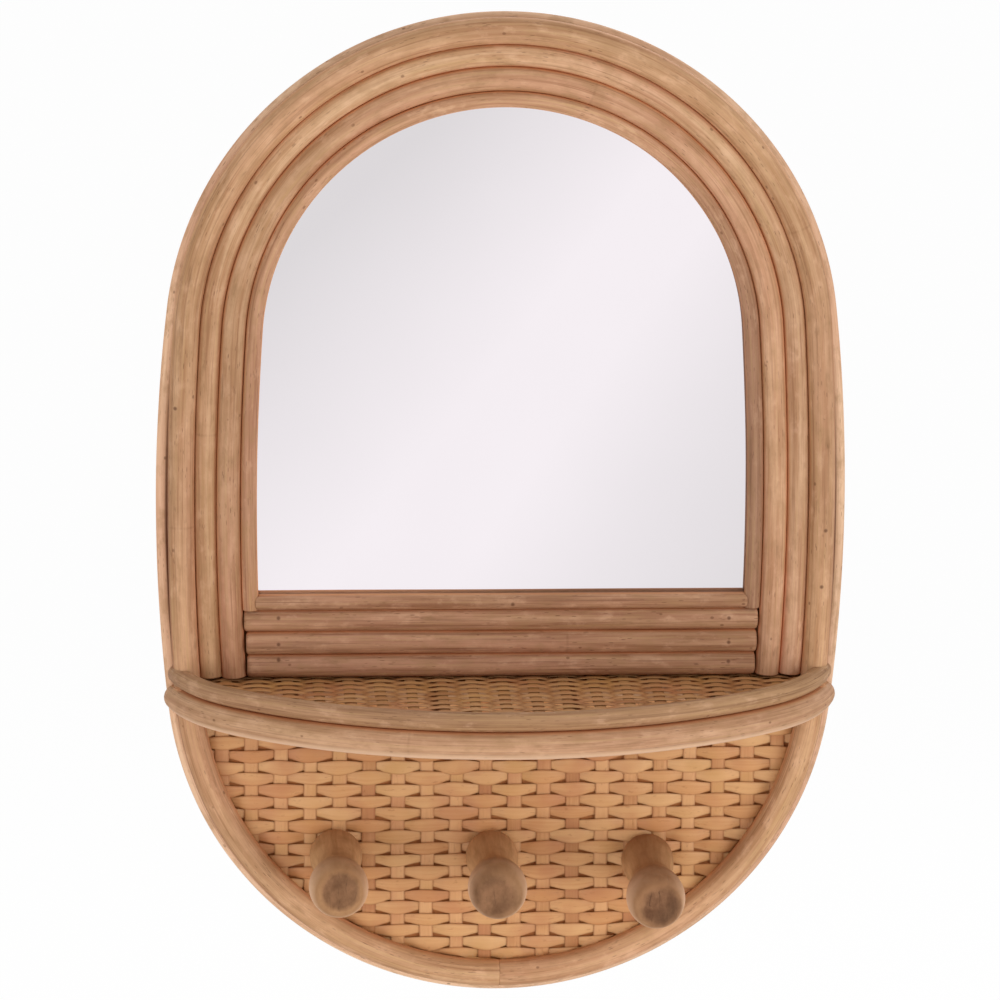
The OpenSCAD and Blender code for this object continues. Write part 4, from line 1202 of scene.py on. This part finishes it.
def ease(a, b, t):
    """From a to b as t goes from 0 to 1, along half a cosine."""
    return a + (b - a) * (1 - np.cos(np.pi * t)) / 2


def peg_outline():
    """Radius and height of a peg's outline: the screw's bore, foot bulge, waist, round
    knob, flat end. The ends are quarter ovals, the lengths between them half cosines."""
    seat_r, waist, swell = 0.8 * PEG_FOOT, 0.47 * PEG_LEN, PEG_LEN - 0.9 * PEG_KNOB
    a = np.radians(np.linspace(0, 90, 8))
    t = np.linspace(0, 1, 22)[1:]
    b = np.radians(np.linspace(0, 90, 15))[1:]
    face = np.linspace(1, 0, 7)[1:-1] * PEG_FACE
    r = [np.full(2, PEG_BORE), np.linspace(0, 1, 5)[1:-1] * seat_r,
         seat_r + (PEG_FOOT - seat_r) * np.sin(a),
         ease(PEG_FOOT, PEG_NECK, t), ease(PEG_NECK, PEG_KNOB, t),
         PEG_FACE + (PEG_KNOB - PEG_FACE) * np.cos(b), face]
    h = [np.array([PEG_BITE, 0]), np.zeros(3), PEG_BULGE * (1 - np.cos(a)),
         PEG_BULGE + (waist - PEG_BULGE) * t, waist + (swell - waist) * t,
         swell + (PEG_LEN - swell) * np.sin(b), np.full(len(face), PEG_LEN)]
    return np.concatenate(r), np.concatenate(h)


def make_peg(name, node, px, py, droop, seed, stain):
    """Turned peg with its foot at px, py: its outline carried round its axis, out of
    round by a few thousandths, then drooped about its foot by droop degrees and pressed
    flat on the weave."""
    r, h = peg_outline()
    count = PEG_ROUND
    theta = np.arange(count) / count * 2 * np.pi
    r = r * PEG_SCALE
    radius = r[:, None] * (1 + 0.004 * np.cos(2 * theta + seed)
                           + 0.003 * drift(h, seed, 30)[:, None])
    u, w = radius * np.cos(theta), radius * np.sin(theta)
    up = np.broadcast_to(h[:, None], u.shape)
    tilt = math.radians(droop)
    turned = tilt * (np.arange(len(r)) > 1)[:, None]      # the bore stays level
    y = w * np.cos(turned) - up * np.sin(turned)
    out = np.clip(w * np.sin(turned) + up * np.cos(turned), 0, None)
    base = BOARD_FRONT + PEG_LIFT + 2 * WEAVE_HALF
    points = facing(px + u, py + y, base + out).reshape(-1, 3)
    tips = facing(np.array([px, px]), py - np.array([0, PEG_LEN * math.sin(tilt)]),
                  base + np.array([PEG_BITE, PEG_LEN * math.cos(tilt)]))
    points = np.concatenate([points, tips])
    nu = len(r)
    j = np.arange(count)
    k = (j + 1) % count
    last, tip = (nu - 1) * count, nu * count
    tris = np.concatenate([np.stack([j, k, np.full(count, tip)], -1),
                           np.stack([last + k, last + j, np.full(count, tip + 1)], -1)])
    quads = lattice(nu, count)
    end = np.concatenate([np.repeat((h > PEG_LEN - PEG_END).astype(float), count), [0, 1]])
    wood = turned_finish(name + "_wood", rgb(208, 162, 116), rgb(186, 142, 98),
                         rgb(140, 94, 58), seed, px * MM,
                         (py - HANG) * MM - PEG_LEN * MM * math.sin(tilt), stain)
    obj = add_mesh(name, points, quads, tris, None, {"end": end}, [wood])
    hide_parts(node)
    return obj


# ---------------------------------------------------------------- slats, and the kept shapes

def make_slats():
    """Four straight rods under the shelf, from the back bar to the lower rim."""
    back = resting(BAR_D) + BAR_D / 2 + SEAT
    mat = pole_finish("slat_cane", d=SLAT_D, seed=16, **POLE_TONES)
    for i, x in enumerate((-1.5, -0.5, 0.5, 1.5)):
        x *= SLAT_PITCH
        cx, front_r, turn, _ = rim_sizes()
        rim = SHELF_REACH - front_r + math.sqrt(front_r ** 2 - x * x)
        reach = rim - SLAT_D / 2 - SEAT - SLAT_SHORT
        y = (back + reach) / 2
        half = math.degrees((reach - back) / 2 / STRAIGHT_R)
        arcs = [(x - STRAIGHT_R, y, STRAIGHT_R, -half, half)]
        pole("slat_cane_%d" % (i + 1), "shelf_slats", arcs, SLAT_D, slat_z, True,
                     mat, 161 + 3 * i, bow=0.05, bevel=0.8)


def dress_cad():
    """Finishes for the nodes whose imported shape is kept."""
    steel = steel_finish("plate_steel", rgb(186, 186, 182), 0.38)
    screw = steel_finish("screw_steel", rgb(168, 166, 160), 0.32)
    finishes = {"backboard": plywood_finish(), "mirror_glass": mirror_finish(),
                "mirror_tape": foam_finish(), "peg_screws": screw, "left_hanger": steel,
                "right_hanger": steel, "hanger_screws": screw, "wall_pads": felt_finish()}
    for node, mat in finishes.items():
        for obj in cad_objects(node):
            for slot in obj.material_slots:
                slot.material = mat


def cad_objects(node):
    """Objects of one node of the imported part."""
    return [o for o in bpy.data.objects if o.type == "MESH" and o.name.split(".")[0] == node]


# ---------------------------------------------------------------- the whole object

# dark stains of the pegs' ends, with the knob's colour and the strength of the painted shade on the
# upper side, as turned_finish takes them
STAINS = ((0.5, 1.8, 11.0, 1.4, 0.83, rgb(158, 115, 80), 0.2),
          (-2.0, -0.5, 13.5, 3.5, 0.8, rgb(152, 112, 80), 0.2),
          (2.0, -0.8, 11.0, 2.6, 1.25, rgb(146, 104, 74), 0.58))

make_poles()
make_panel()
make_shelf_weave()
for i, (node, px, py, droop) in enumerate(PEGS):
    make_peg("turned_" + node, node, px, py, droop, i + 1, STAINS[i])
make_slats()
dress_cad()
